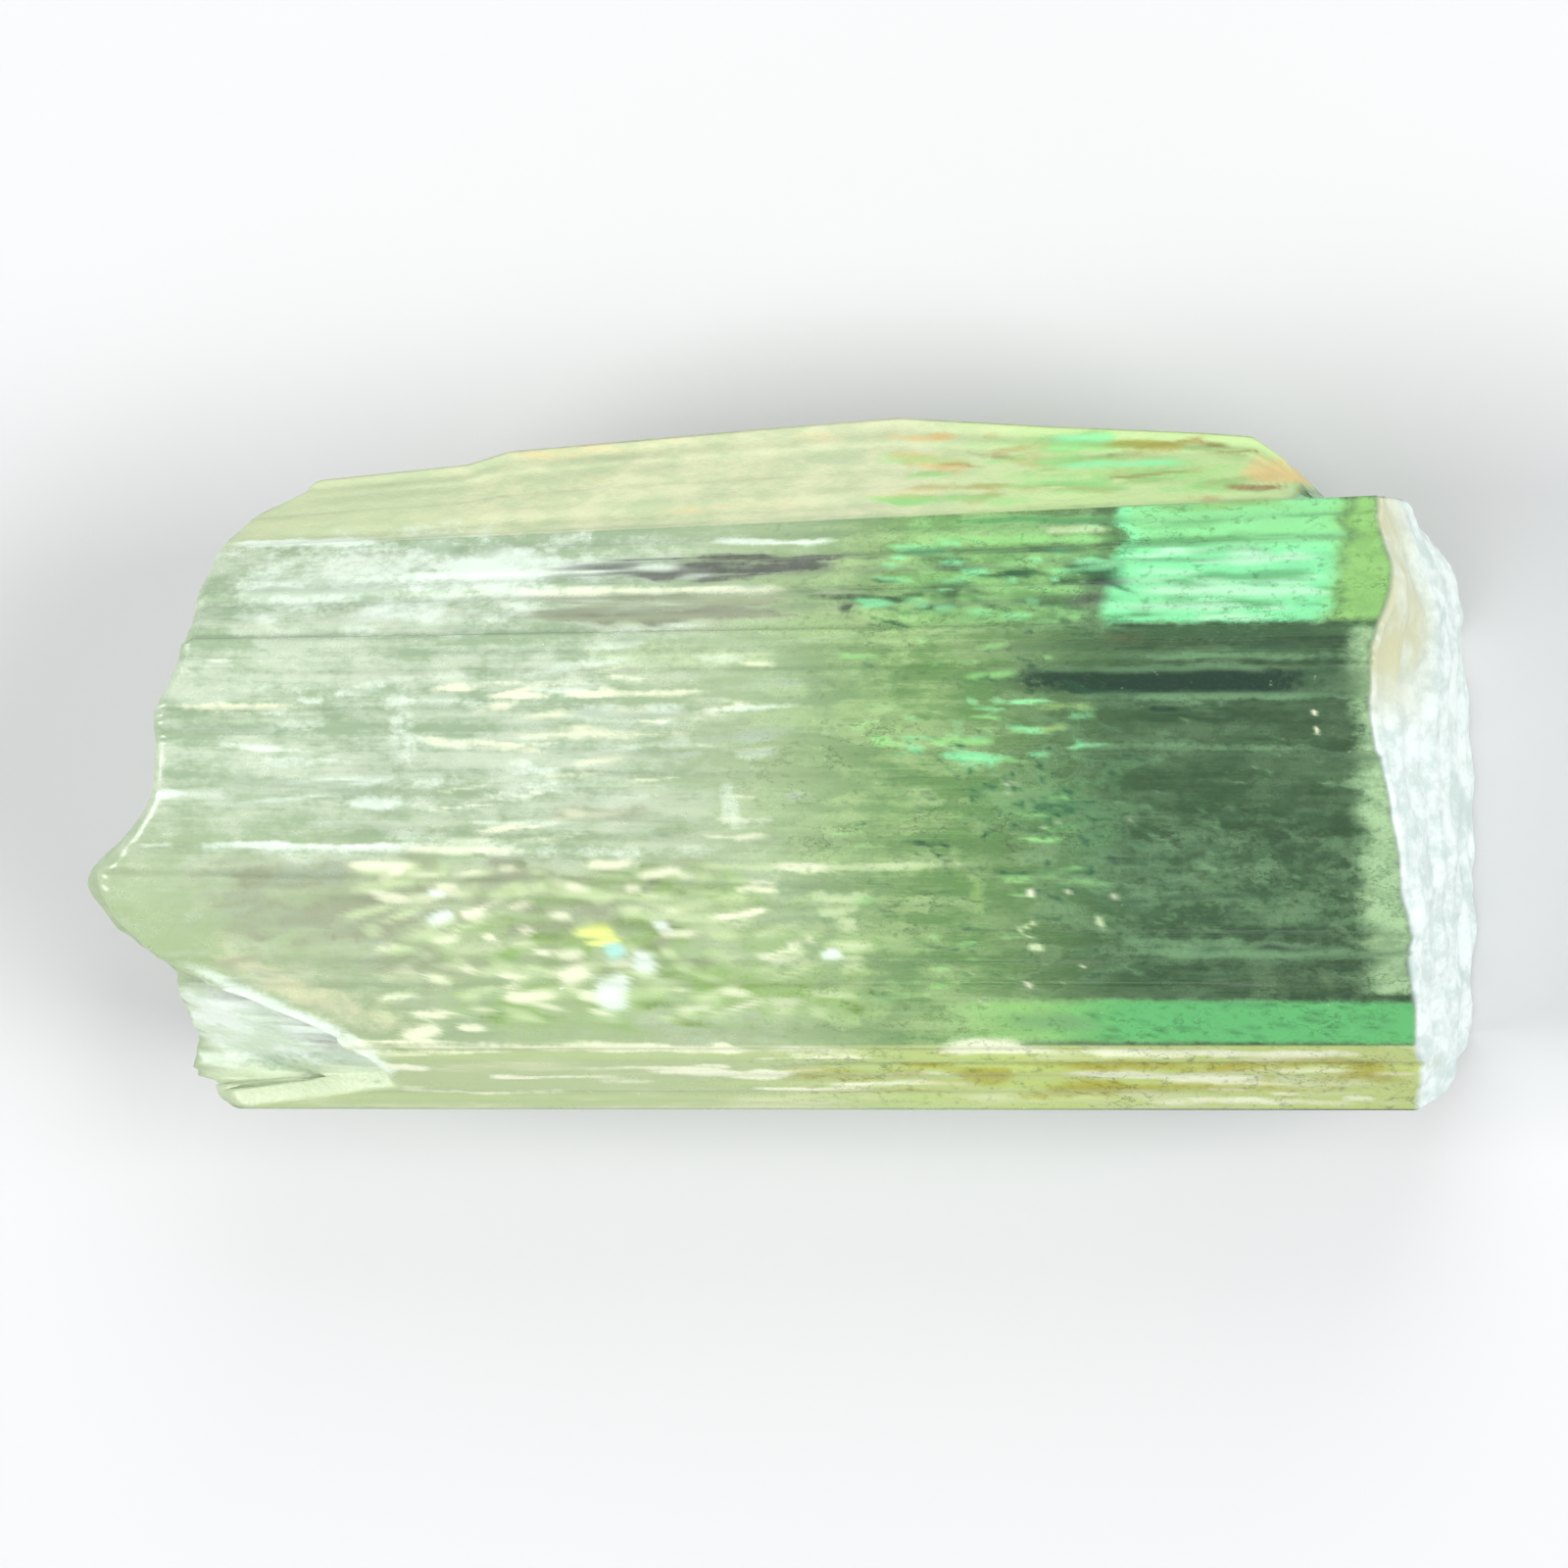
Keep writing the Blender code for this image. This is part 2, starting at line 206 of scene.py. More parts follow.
# Soft veils on the upper faces: colour, share, X and Y of the centre, both radii, and
# turn in degrees.
VEILS = (
    # The haze of the pale half, with painted highlights along the crest and its ridges, and
    # dark streaks where it turns green.
    ("sheen", 0.62, -6.8, 4.0, 5.5, 1.00, 2),
    ("sheen", 0.60, -4.9, 4.2, 1.8, 0.40, 2),
    ("sheen", 0.60, -7.1, 3.3, 1.0, 0.25, 3),
    ("silver", 0.50, -8.9, 2.7, 1.3, 0.25, 0),
    ("slate", 0.60, 0.0, 4.15, 2.4, 0.20, 2),
    ("slate", 0.65, 1.6, 4.2, 0.9, 0.25, 0),
    ("stone", 0.60, -1.0, 3.2, 3.2, 0.20, 1),
    ("slate", 0.70, -1.2, 3.15, 2.4, 0.17, 1),
    ("sheen", 0.40, -5.5, -1.72, 7.0, 0.22, 0),
    ("sage", 0.45, -0.9, 2.3, 2.5, 0.45, 0),
    ("silver", 0.50, -2.0, 2.65, 0.3, 0.25, 0),
    ("silver", 0.50, -6.0, 0.6, 0.3, 1.10, 0),
    ("sheen", 0.35, -7.0, 0.8, 0.4, 1.00, 0),
    ("silver", 0.55, -7.7, -0.15, 0.6, 0.85, 0),
    ("silver", 0.45, -10.6, -0.55, 1.7, 0.45, 0),
    ("stone", 0.65, -2.8, -0.95, 1.3, 0.25, 0),
    ("sheen", 0.45, -4.2, -0.5, 0.9, 0.22, 8),
    ("sheen", 0.40, 0.05, -0.7, 0.24, 0.85, 6),
    ("olive", 0.50, -1.1, -1.25, 0.5, 0.20, 0),
    ("olive", 0.50, -1.2, -2.55, 0.5, 0.15, 6),
    # The clouded front face.
    ("stone", 0.58, -9.2, -2.9, 2.4, 0.85, -4),
    ("stone", 0.50, -8.4, -3.1, 0.9, 0.70, 0),
    ("stone", 0.45, -3.5, -3.0, 1.2, 0.35, 0),
    ("moss", 0.40, -2.5, -4.4, 3.2, 0.90, 0),
    ("moss", 0.50, -0.4, -4.5, 2.4, 1.05, 0),
    ("moss", 0.50, -4.4, -5.35, 2.5, 0.55, 0),
    ("moss", 0.70, 5.3, -2.6, 0.2, 0.45, 0),
    ("lichen", 0.60, 6.4, -5.35, 1.2, 0.25, 0),
    # The bright mint field at the dark end, the crystal's green under a painted reflection
    # where a facet catches the light, with painted highlight lines, and what lies round it.
    ("mint", 0.60, 10.6, 3.55, 2.1, 0.45, 0),
    ("mint_highlight", 0.80, 11.0, 4.4, 0.5, 0.15, 0),
    ("pine", 0.95, 7.9, 4.1, 0.6, 0.30, 0),
    ("slate", 0.70, 7.8, 3.45, 0.5, 0.25, 0),
    ("umber", 0.70, 8.6, 2.65, 0.6, 0.20, 0),
    ("umber", 0.30, 12.3, -4.45, 1.3, 0.30, 0),
    ("fern", 0.40, 6.9, -0.7, 1.9, 1.10, 0),
    # Stains on the ledge.
    ("peach", 0.70, 3.9, 6.4, 0.9, 0.20, -10),
    ("tan", 0.60, 5.1, 5.6, 0.5, 0.20, 20),
    ("tan", 0.50, 6.2, 6.45, 0.9, 0.20, 0),
    ("meadow", 0.45, 8.8, 6.2, 2.4, 0.45, 0),
    ("peach", 0.70, 11.3, 6.15, 0.7, 0.25, -8),
    # Gold on the bevel.
    ("ochre", 0.75, 4.9, -6.45, 0.7, 0.20, 0),
    ("ochre", 0.70, 13.1, -6.35, 0.5, 0.25, 0),
    # The chipped corner, with a painted highlight as a white band along its upper edge.
    ("sand", 0.70, -9.8, -4.7, 2.6, 0.50, -24),
    ("sheen", 0.95, -10.5, -5.12, 2.3, 0.27, -25),
    ("sheen", 0.85, -8.6, -6.25, 0.6, 0.20, -48),
    ("sheen", 0.60, -11.6, -5.6, 0.8, 0.60, 0),
    ("lichen", 0.40, -11.2, -6.4, 1.1, 0.30, -4),
    ("fern", 0.65, -11.1, -6.65, 0.5, 0.10, 4),
    ("fern", 0.45, -9.0, -6.75, 0.4, 0.06, -8),
)

# Lines along the prism: colour, share, span in X, and Y. The white sheen lines are
# painted highlights along the ridges.
LINES = (
    ("sheen", 0.80, (-11.3, -7.2), 4.8),
    ("sheen", 0.80, (-0.9, 2.5), 4.75),
    ("silver", 0.60, (-11.0, -7.2), 3.75),
    ("cream", 0.70, (-4.2, 2.2), 3.7),
    ("cream", 0.75, (-3.2, 0.2), 1.55),
    ("cream", 0.70, (-12.2, -9.2), 1.3),
    ("silver", 0.60, (-3.5, 0.3), 1.1),
    ("silver", 0.50, (-12.6, -9.2), 0.8),
    ("cream", 0.75, (-4.6, -0.4), 0.7),
    ("silver", 0.60, (-3.9, -0.1), 0.25),
    ("sheen", 0.85, (-12.9, -6.5), -1.65),
    ("cream", 0.70, (-7.2, -4.7), -1.75),
    ("sage", 0.80, (-2.0, 5.6), -2.05),
    ("cream", 0.90, (0.7, 2.2), -2.05),
    ("stone", 0.60, (-8.6, -6.1), -4.3),
    ("mint", 0.85, (6.2, 7.9), 6.9),
    ("peach", 0.60, (2.4, 4.5), 6.95),
    ("ochre", 0.80, (7.5, 9.4), 6.75),
    ("mint", 0.70, (6.9, 9.4), 6.35),
    ("leaf", 0.70, (5.7, 8.2), 5.95),
    ("brown", 0.80, (10.2, 11.9), 5.8),
    ("fern", 0.75, (4.7, 8.5), 5.15),
    ("sage", 0.80, (6.3, 8.1), 4.95),
    ("leaf", 0.70, (4.3, 8.2), 4.75),
    ("pine", 0.60, (3.4, 8.2), 4.5),
    ("leaf", 0.80, (5.7, 6.8), 4.2),
    ("pine", 0.85, (5.8, 6.6), 4.0),
    ("leaf", 0.70, (5.8, 7.8), 3.7),
    # Painted highlights: the light mint lines of the bright field, between darker green ones.
    ("fern", 0.60, (8.5, 11.5), 4.7),
    ("mint_highlight", 0.70, (10.7, 12.9), 4.3),
    ("fern", 0.60, (9.6, 12.8), 3.95),
    ("mint_highlight", 0.80, (8.7, 12.9), 3.65),
    ("mint_highlight", 0.70, (8.6, 11.0), 3.3),
    ("lichen", 0.70, (8.7, 13.8), 2.3),
    ("lichen", 0.60, (7.1, 11.8), 2.05),
    ("lichen", 0.70, (8.1, 14.0), 1.45),
    ("moss", 0.70, (6.7, 8.4), 1.25),
    ("leaf", 0.85, (4.6, 6.0), 0.55),
    ("lichen", 0.50, (7.6, 13.2), 0.4),
    ("lichen", 0.60, (7.7, 11.1), -3.65),
    ("lichen", 0.75, (7.3, 13.7), -3.85),
    ("cream", 0.70, (-9.6, 3.1), -5.95),
    ("cream", 0.75, (6.0, 13.6), -5.95),
    ("ochre", 0.50, (6.0, 13.2), -6.25),
    ("cream", 0.90, (6.1, 11.2), -6.45),
    ("ochre", 0.70, (5.8, 8.3), -6.75),
    ("cream", 0.60, (7.8, 13.7), -7.0),
)
LINE_RADIUS = 0.10

# Bright flashes of light off cracks inside, as painted reflections: colour, X and Y,
# both radii, turn in degrees.
FLASHES = (
    ("cream", -7.7, -2.1, 0.7, 0.12, 0),
    ("cream", -7.5, -2.8, 0.4, 0.10, 0),
    ("sheen", -6.6, -2.65, 0.2, 0.10, 0),
    ("sheen", -6.5, -3.2, 0.35, 0.15, 20),
    ("cream", -5.8, -3.05, 0.3, 0.10, 10),
    ("cream", -2.6, -2.0, 0.6, 0.12, 4),
    ("gold", -3.1, -3.45, 0.5, 0.15, 8),
    ("gold", -2.9, -3.65, 0.4, 0.10, 14),
    ("ice", -2.7, -3.85, 0.25, 0.25, 0),
    ("sheen", -2.1, -4.15, 0.25, 0.40, -14),
    ("sheen", -2.9, -4.8, 0.4, 0.45, 0),
    ("sheen", -1.6, -3.35, 0.2, 0.15, 0),
    ("cream", 0.1, -3.1, 0.65, 0.10, 8),
    ("sheen", 2.0, -3.95, 0.22, 0.15, 0),
    ("cream", -3.7, -4.4, 0.45, 0.25, 20),
    ("cream", -4.8, -4.85, 0.7, 0.15, 0),
    ("cream", -7.3, -5.65, 0.5, 0.15, 8),
    ("cream", -6.2, -5.55, 0.4, 0.10, 0),
    ("cream", -0.7, -5.9, 0.3, 0.15, 0),
    ("cream", 0.2, -6.45, 0.5, 0.10, 0),
    ("cream", 5.2, -5.85, 0.9, 0.20, 0),
    ("mint", 5.4, 0.2, 0.6, 0.10, -6),
    ("moss", 7.2, 0.8, 0.35, 0.10, 8),
    ("cream", 6.45, -2.6, 0.1, 0.10, 0),
    ("sage", 6.3, -3.3, 0.3, 0.10, 30),
    ("sage", 6.5, -3.75, 0.15, 0.10, 0),
    ("sage", 7.9, -3.2, 0.1, 0.15, 0),
    ("cream", 6.2, -4.55, 0.15, 0.10, 10),
    ("cream", 12.7, 1.1, 0.12, 0.08, 0),
    ("cream", 12.7, 0.75, 0.1, 0.10, -20),
)
FLASH_SHARE = 0.95
VEIL_SOFTNESS, LINE_SOFTNESS, FLASH_SOFTNESS = 0.9, 0.8, 0.7

# Small flecks scattered on the upper faces: colour, count, shares, spans in X and Y,
# long and short radii, and turns in degrees.
FLECKS = (
    ("stone", 30, (0.2, 0.5), (-12.0, -1.0), (-4.4, -1.9), (0.50, 1.50), (0.15, 0.45), (-12, 15)),
    ("moss", 30, (0.2, 0.5), (-7.0, 3.0), (-5.5, -2.0), (0.40, 1.20), (0.15, 0.40), (-15, 25)),
    ("stone", 70, (0.3, 0.8), (-11.5, -0.5), (-4.4, -1.9), (0.20, 0.90), (0.06, 0.20), (-8, 20)),
    ("moss", 60, (0.2, 0.6), (-6.0, 3.0), (-5.5, -2.2), (0.20, 0.90), (0.06, 0.22), (-8, 30)),
    ("stone", 60, (0.2, 0.5), (-12.0, -6.5), (-4.6, -1.9), (0.15, 0.50), (0.06, 0.15), (-12, 20)),
    ("silver", 40, (0.3, 0.6), (-12.5, -6.5), (-4.4, -1.9), (0.15, 0.60), (0.06, 0.15), (-12, 20)),
    ("sage", 120, (0.3, 0.8), (-8.5, 2.6), (-5.4, -2.0), (0.15, 0.70), (0.07, 0.20), (-12, 20)),
    ("olive", 40, (0.2, 0.5), (-6.0, 3.0), (-5.5, -2.0), (0.15, 0.50), (0.07, 0.14), (-10, 15)),
    ("cream", 70, (0.3, 0.8), (-8.0, 1.6), (-5.3, -2.1), (0.10, 0.50), (0.06, 0.13), (-12, 20)),
    ("sheen", 70, (0.2, 0.6), (-12.5, 1.5), (-1.6, 4.6), (0.30, 1.40), (0.06, 0.16), (-4, 8)),
    ("silver", 50, (0.2, 0.6), (-12.5, 2.0), (-1.6, 4.6), (0.30, 1.60), (0.06, 0.16), (-4, 6)),
    ("slate", 30, (0.4, 0.8), (-3.2, 2.2), (3.85, 4.45), (0.30, 1.20), (0.04, 0.10), (-1, 3)),
    ("stone", 30, (0.4, 0.8), (-4.5, 2.0), (2.95, 3.60), (0.30, 1.20), (0.04, 0.10), (-1, 3)),
    ("cream", 50, (0.3, 0.7), (-6.0, 1.0), (-1.6, 2.2), (0.20, 0.90), (0.04, 0.12), (-6, 12)),
    ("leaf", 60, (0.3, 0.7), (2.5, 7.8), (-5.0, 4.9), (0.10, 0.60), (0.05, 0.12), (-6, 8)),
    ("pine", 110, (0.3, 0.7), (2.8, 9.0), (-4.8, 4.9), (0.10, 0.70), (0.04, 0.10), (-20, 15)),
    ("pine", 150, (0.3, 0.7), (4.0, 9.0), (-2.2, 0.7), (0.05, 0.22), (0.04, 0.09), (-60, 60)),
    ("black", 30, (0.3, 0.7), (2.4, 8.3), (3.1, 4.4), (0.20, 0.80), (0.05, 0.16), (-4, 4)),
    ("mint", 34, (0.4, 0.9), (3.0, 8.3), (3.0, 5.0), (0.10, 0.50), (0.04, 0.10), (-6, 6)),
    ("mint", 26, (0.3, 0.7), (4.0, 8.0), (0.0, 1.4), (0.15, 0.60), (0.04, 0.10), (-10, 8)),
    ("lichen", 80, (0.2, 0.6), (7.5, 13.4), (-4.7, 1.3), (0.05, 0.30), (0.03, 0.08), (-30, 40)),
    ("cream", 16, (0.4, 0.9), (4.5, 9.0), (-5.0, 0.0), (0.05, 0.12), (0.04, 0.07), (-30, 60)),
    ("black", 44, (0.2, 0.6), (8.0, 13.2), (-4.7, 2.8), (0.20, 1.20), (0.05, 0.14), (-3, 3)),
    # Painted highlights: light mint streaks in the bright field.
    ("mint_highlight", 24, (0.3, 0.8), (8.6, 12.9), (3.0, 4.6), (0.20, 0.90), (0.04, 0.09), (-2, 4)),
    ("fern", 20, (0.3, 0.6), (8.6, 13.0), (3.1, 5.4), (0.30, 1.20), (0.04, 0.10), (-2, 3)),
    ("pine", 40, (0.2, 0.4), (7.5, 13.9), (-5.7, -4.9), (0.08, 0.30), (0.03, 0.08), (-10, 10)),
    ("leaf", 40, (0.3, 0.7), (3.0, 11.4), (5.3, 7.1), (0.30, 1.30), (0.04, 0.12), (-4, 8)),
    ("moss", 24, (0.2, 0.5), (3.0, 11.4), (5.3, 7.1), (0.30, 1.30), (0.04, 0.12), (-4, 8)),
    ("tan", 20, (0.2, 0.6), (3.0, 11.4), (5.5, 7.2), (0.15, 0.80), (0.04, 0.14), (-10, 12)),
    ("brown", 10, (0.3, 0.6), (3.5, 11.6), (5.6, 7.2), (0.15, 0.90), (0.03, 0.07), (-10, 10)),
    ("peach", 10, (0.10, 0.25), (-8.0, 5.0), (5.4, 7.2), (0.50, 2.00), (0.10, 0.25), (-3, 5)),
    ("cream", 40, (0.4, 0.9), (-9.0, 14.0), (-7.0, -5.8), (0.30, 1.80), (0.04, 0.09), (-1, 2)),
    ("ochre", 40, (0.3, 0.6), (1.0, 14.0), (-6.9, -6.0), (0.30, 1.80), (0.05, 0.14), (-1, 2)),
)
MARK_RAGGEDNESS = 0.32  # of a mark's radius
MARK_SPREAD = 0.35  # how far past its radius a mark fades, as a share of its softness
RAGGED_WAVES = ((0.8, 0.3), (1.2, 0.5), (0.5, 0.2))  # lengths in X and Y
ZONE_WAVE = (2.0, 0.30)
ZONE_STRAY = 0.22  # how far the ends of a zone wander in X


# ---------------- form

def smoothstep(edge0, edge1, value):
    share = np.clip((value - edge0) / (edge1 - edge0), 0.0, 1.0)
    return share * share * (3.0 - 2.0 * share)


def lattice_noise(u, v, seed):
    """Smooth noise from -1 to 1 over a plane, with one random value at each whole
    (u, v)."""
    table = np.random.default_rng(seed).uniform(-1.0, 1.0, (LATTICE, LATTICE))
    column, row = np.floor(u).astype(int), np.floor(v).astype(int)
    fu, fv = smoothstep(0.0, 1.0, u - column), smoothstep(0.0, 1.0, v - row)

    def corner_value(du, dv):
        return table[(column + du) % LATTICE, (row + dv) % LATTICE]

    near = corner_value(0, 0) * (1 - fu) + corner_value(1, 0) * fu
    far = corner_value(0, 1) * (1 - fu) + corner_value(1, 1) * fu
    return near * (1 - fv) + far * fv


def relief(kinds, across, along, seed):
    """Sum of noises, each from nothing to its depth."""
    total = 0.0
    for i, (width, length, depth) in enumerate(kinds):
        wave = lattice_noise(along / length, across / width, seed + i)
        total = total + depth * (0.5 + 0.5 * wave)
    return total


def curve(points, value):
    """Height at a value along a curve given as (place, height) points."""
    places, heights = np.array(points).T
    return np.interp(value, places, heights)


def swellings(table, across, up):
    """The sum of the rounded hills of one end."""
    total = 0.0
    for (at_across, at_up), (across_radius, up_radius), rise in table:
        square = ((across - at_across) / across_radius) ** 2
        square = square + ((up - at_up) / up_radius) ** 2
        total = total + rise * np.exp(-square)
    return total


def ripples(table, y, z):
    """Wandering waves over an end, each the sum of plane waves turned apart."""
    total = 0.0
    for wavelength, phase, height in table:
        for turn, stretch in RIPPLE_WAVES:
            along = y * math.cos(turn) + z * math.sin(turn)
            wave = np.sin(along * stretch * math.tau / wavelength + phase * turn)
            total = total + wave * height / len(RIPPLE_WAVES)
    return total


def beyond(threshold, value, rise):
    """Nothing up to a threshold, and from there a steady rise."""
    return rise * np.maximum(value - threshold, 0.0)


def chip(across, up):
    """X of the chipped corner, which hollows out the pale end where it stands higher."""
    edge_x, (edge_across, edge_up) = CHIP_EDGE
    across_slope, up_slope = CHIP_SLOPE
    x = edge_x + across_slope * (across - edge_across) + up_slope * (up - edge_up)
    x = x - beyond(-CHIP_FLOOR[0], -up, CHIP_FLOOR[1])
    return x - beyond(-CHIP_RIM[0], -across, CHIP_RIM[1])


def worn_break(y, z):
    """The pale break before its corner was chipped."""
    across = y - FRONT_Y
    x = curve(PALE_RIM, across) + swellings(PALE_SWELLINGS, across, z)
    return x + beyond(-PALE_LEAN[0], -z, PALE_LEAN[1])


def pale_break(y, z):
    """X of the break at the pale end, over a point of the section."""
    x = worn_break(y, z)
    x = EDGE_BLEND * np.logaddexp(x / EDGE_BLEND, chip(y - FRONT_Y, z) / EDGE_BLEND)
    return x + ripples(PALE_RIPPLES, y, z) + relief(PALE_CRUMB, y, z, PALE_CRUMB_SEED)


def dark_break(y, z):
    """X of the break at the dark end, over a point of the section."""
    across = y - FRONT_Y
    foot_height, foot_fall = DARK_FOOT
    x = DARK_END_X + curve(DARK_RIM, across) + swellings(DARK_SWELLINGS, across, z)
    x = x + foot_fall * smoothstep(0.0, foot_height, foot_height - z)
    return x + ripples(DARK_RIPPLES, y, z) - relief(DARK_CRUMB, y, z, DARK_CRUMB_SEED)


def section_layout():
    """One row for each point of the solid's section: its face, its share of the way
    along that face, and the depth, the middle and the reach of its groove."""
    rng = np.random.default_rng(SEED)
    rows = []
    for face, (name, *_, divisions) in enumerate(SECTION):
        for step in range(divisions):
            stray = rng.uniform(-GROOVE_STRAY, GROOVE_STRAY)
            depth = rng.uniform(*GROOVE_DEPTHS) * STRIA_DEPTH
            middle, reach = rng.uniform(*GROOVE_MIDDLES), rng.uniform(*GROOVE_REACHES)
            if step == 0 or name == RESTING_FACE:
                stray = 0.0
            if step % 2 == 0 or name == RESTING_FACE:
                depth = 0.0
            rows.append((face, (step + stray) / divisions, depth, middle, reach))
    return rows


def corner(face, x):
    """(y, z) of the corner where each face starts, at each X. Both are arrays."""
    table = np.array([(across, up, drift, *ledge)
                      for _, across, up, drift, ledge, _ in SECTION])
    across, up, drift, ledge_out, ledge_up = table[face % len(SECTION)].T[..., None]
    reach = curve(LEDGE, x)
    return FRONT_Y + across + drift * x + ledge_out * reach, up + ledge_up * reach


def groove(row, x):
    """How deep a groove is at each X."""
    _, _, depth, middle, reach = (column[:, None] for column in row.T)
    fade = smoothstep(GROOVE_FADES_FROM, 1.0, np.abs(x - middle) / reach)
    return depth * (1.0 - fade)


class Walls:
    """The points round the fine section, and what lies between the solid's own."""

    def __init__(self):
        coarse = np.array(section_layout())
        following = np.roll(coarse, -1, axis=0)
        ends = np.where(following[:, 0] != coarse[:, 0], 1.0, following[:, 1])
        step = np.tile(np.arange(FINE_STEPS) / FINE_STEPS, len(coarse))
        self.first = coarse.repeat(FINE_STEPS, axis=0)
        self.second = following.repeat(FINE_STEPS, axis=0)
        self.face = self.first[:, 0].astype(int)
        self.share = self.first[:, 1] + (ends.repeat(FINE_STEPS) - self.first[:, 1]) * step
        self.blend = smoothstep(0.0, 1.0, step)
        self.names = np.array(FACES)[self.face]
        self.around = self.distance_around()

    def face_spans(self, x):
        """(y, z) of the start of each point's face, and the way from there to its end."""
        start_y, start_z = corner(self.face, x)
        end_y, end_z = corner(self.face + 1, x)
        return start_y, start_z, end_y - start_y, end_z - start_z

    def distance_around(self):
        """How far round the section each point lies, at mid-length."""
        y, z, along_y, along_z = self.face_spans(np.zeros((len(self.face), 1)))
        y, z = y + along_y * self.share[:, None], z + along_z * self.share[:, None]
        gaps = np.hypot(np.diff(y[:, 0]), np.diff(z[:, 0]))
        return np.concatenate([[0.0], np.cumsum(gaps)])

    def inward(self, x, length):
        """How far each point lies inside the flat face that it is on."""
        blend = self.blend[:, None]
        depth = (1 - blend) * groove(self.first, x) + blend * groove(self.second, x)
        around = self.around[:, None] + 0.0 * x
        on_ledge = np.isin(self.names, LEDGE_FACES)[:, None]
        ledge = on_ledge * smoothstep(*LEDGE_RELIEF, curve(LEDGE, x))
        rest = (self.names == RESTING_FACE)[:, None]
        fine = relief(WALL_STRIAE, around, x, WALL_SEED) * (1 - ledge)
        fine = fine + relief(LEDGE_LUMPS, around, x, LEDGE_SEED) * ledge
        fine = np.where(rest, relief(REST_STRIAE, around, x, REST_SEED), fine)
        corner_distance = np.minimum(self.share, 1.0 - self.share)[:, None] * length
        smoothed = 1 - LEDGE_SMOOTHING * ledge
        return depth * smoothed + fine * smoothstep(0.0, CORNER_CLEARANCE, corner_distance)

    def points(self, x):
        """(y, z) of each point at each X."""
        start_y, start_z, along_y, along_z = self.face_spans(x)
        length = np.hypot(along_y, along_z)
        share, inward = self.share[:, None], self.inward(x, length)
        y = start_y + along_y * share - along_z / length * inward
        z = start_z + along_z * share + along_y / length * inward
        return y, np.maximum(z, 0.0)


def rim_inset(distance, radius):
    """How far a rounded rim has drawn in, at a distance from the end of the wall."""
    short = np.clip(radius - distance, 0.0, radius)
    return radius - np.sqrt(radius**2 - short**2)


def stations():
    """Shares of the way along the walls, crowded at both ends."""
    rim = RIM_SHARE * (np.arange(RIM_RINGS) / RIM_RINGS) ** 2
    body = np.linspace(RIM_SHARE, 1 - RIM_SHARE, BODY_RINGS)
    return np.concatenate([rim, body, 1 - rim[::-1]])


def wall_grid(walls):
    """Points of the walls as an array (round, along, xyz), and their distance from
    the pale and the dark break."""
    station = stations()[None, :]
    x = np.zeros((len(walls.face), station.shape[1]))
    for _ in range(SETTLING_ROUNDS):
        y, z = walls.points(x)
        pale, dark = pale_break(y, z), dark_break(y, z)
        x = pale + (dark - pale) * station
    inset = rim_inset(x - pale, WORN_RADIUS) + rim_inset(dark - x, CRISP_RADIUS)
    away_y, away_z = FRONT_Y + CORE[0] - y, CORE[1] - z
    far = np.hypot(away_y, away_z)
    y, z = y + away_y / far * inset, z + away_z / far * inset
    return np.stack([x, y, z], axis=-1), x - pale, dark - x


def is_inside(ring, point):
    """Whether a point lies within a closed ring, by the crossings of a ray from it."""
    ends = np.roll(ring, -1, axis=0)
    spans = (ring[:, 1] > point[1]) != (ends[:, 1] > point[1])
    share = (point[1] - ring[spans, 1]) / (ends[spans, 1] - ring[spans, 1])
    crossings = ring[spans, 0] + share * (ends[spans, 0] - ring[spans, 0])
    return np.count_nonzero(crossings > point[0]) % 2 == 1


def break_points(ring, seed):
    """Points of a jittered grid that lie inside a ring, clear of its edge."""
    rng = np.random.default_rng(seed)
    low, high = ring.min(axis=0), ring.max(axis=0)
    points = []
    for y in np.arange(low[0], high[0], BREAK_GRID):
        for z in np.arange(low[1], high[1], BREAK_GRID):
            point = np.array([y, z]) + rng.uniform(-GRID_JITTER, GRID_JITTER, 2) * BREAK_GRID
            clearance = np.linalg.norm(ring - point, axis=1).min()
            if clearance > GRID_CLEARANCE * BREAK_GRID and is_inside(ring, point):
                points.append(point)
    return np.array(points)


def break_mesh(ring, height, seed):
    """Points and triangles of a broken end stretched over the last ring."""
    inner = break_points(ring[:, 1:], seed)
    flat = [Vector(point) for point in np.vstack([ring[:, 1:], inner])]
    count = len(ring)
    edges = [(i, (i + 1) % count) for i in range(count)]
    _, _, faces, origins, _, _ = delaunay_2d_cdt(flat, edges, [], 1, WELD)
    x = height(inner[:, 0], inner[:, 1])
    points = np.column_stack([x, inner])
    return points, [[origins[i][0] for i in face] for face in faces]


def wall_faces(index):
    """Quads between the rings of the walls, whose points are numbered ring by ring."""
    after = np.roll(index, -1, axis=1)
    corners = [index[:-1], after[:-1], after[1:], index[1:]]
    return np.stack(corners, axis=-1).reshape(-1, 4).tolist()


def end_caps(grid, index):
    """Points and triangles of both broken ends, and the end that each point is on."""
    points, faces, ends = [], [], []
    total = index.size
    for end, height, seed in ((0, pale_break, PALE_GRID_SEED), (-1, dark_break, DARK_GRID_SEED)):
        extra, triangles = break_mesh(grid[:, end], height, seed)
        number = np.concatenate([index[end], total + np.arange(len(extra))])
        triangles = [[int(number[i]) for i in face] for face in triangles]
        faces += [face if end else face[::-1] for face in triangles]
        points.append(extra)
        ends.append(np.full(len(extra), end))
        total += len(extra)
    return np.vstack(points), faces, np.concatenate(ends)


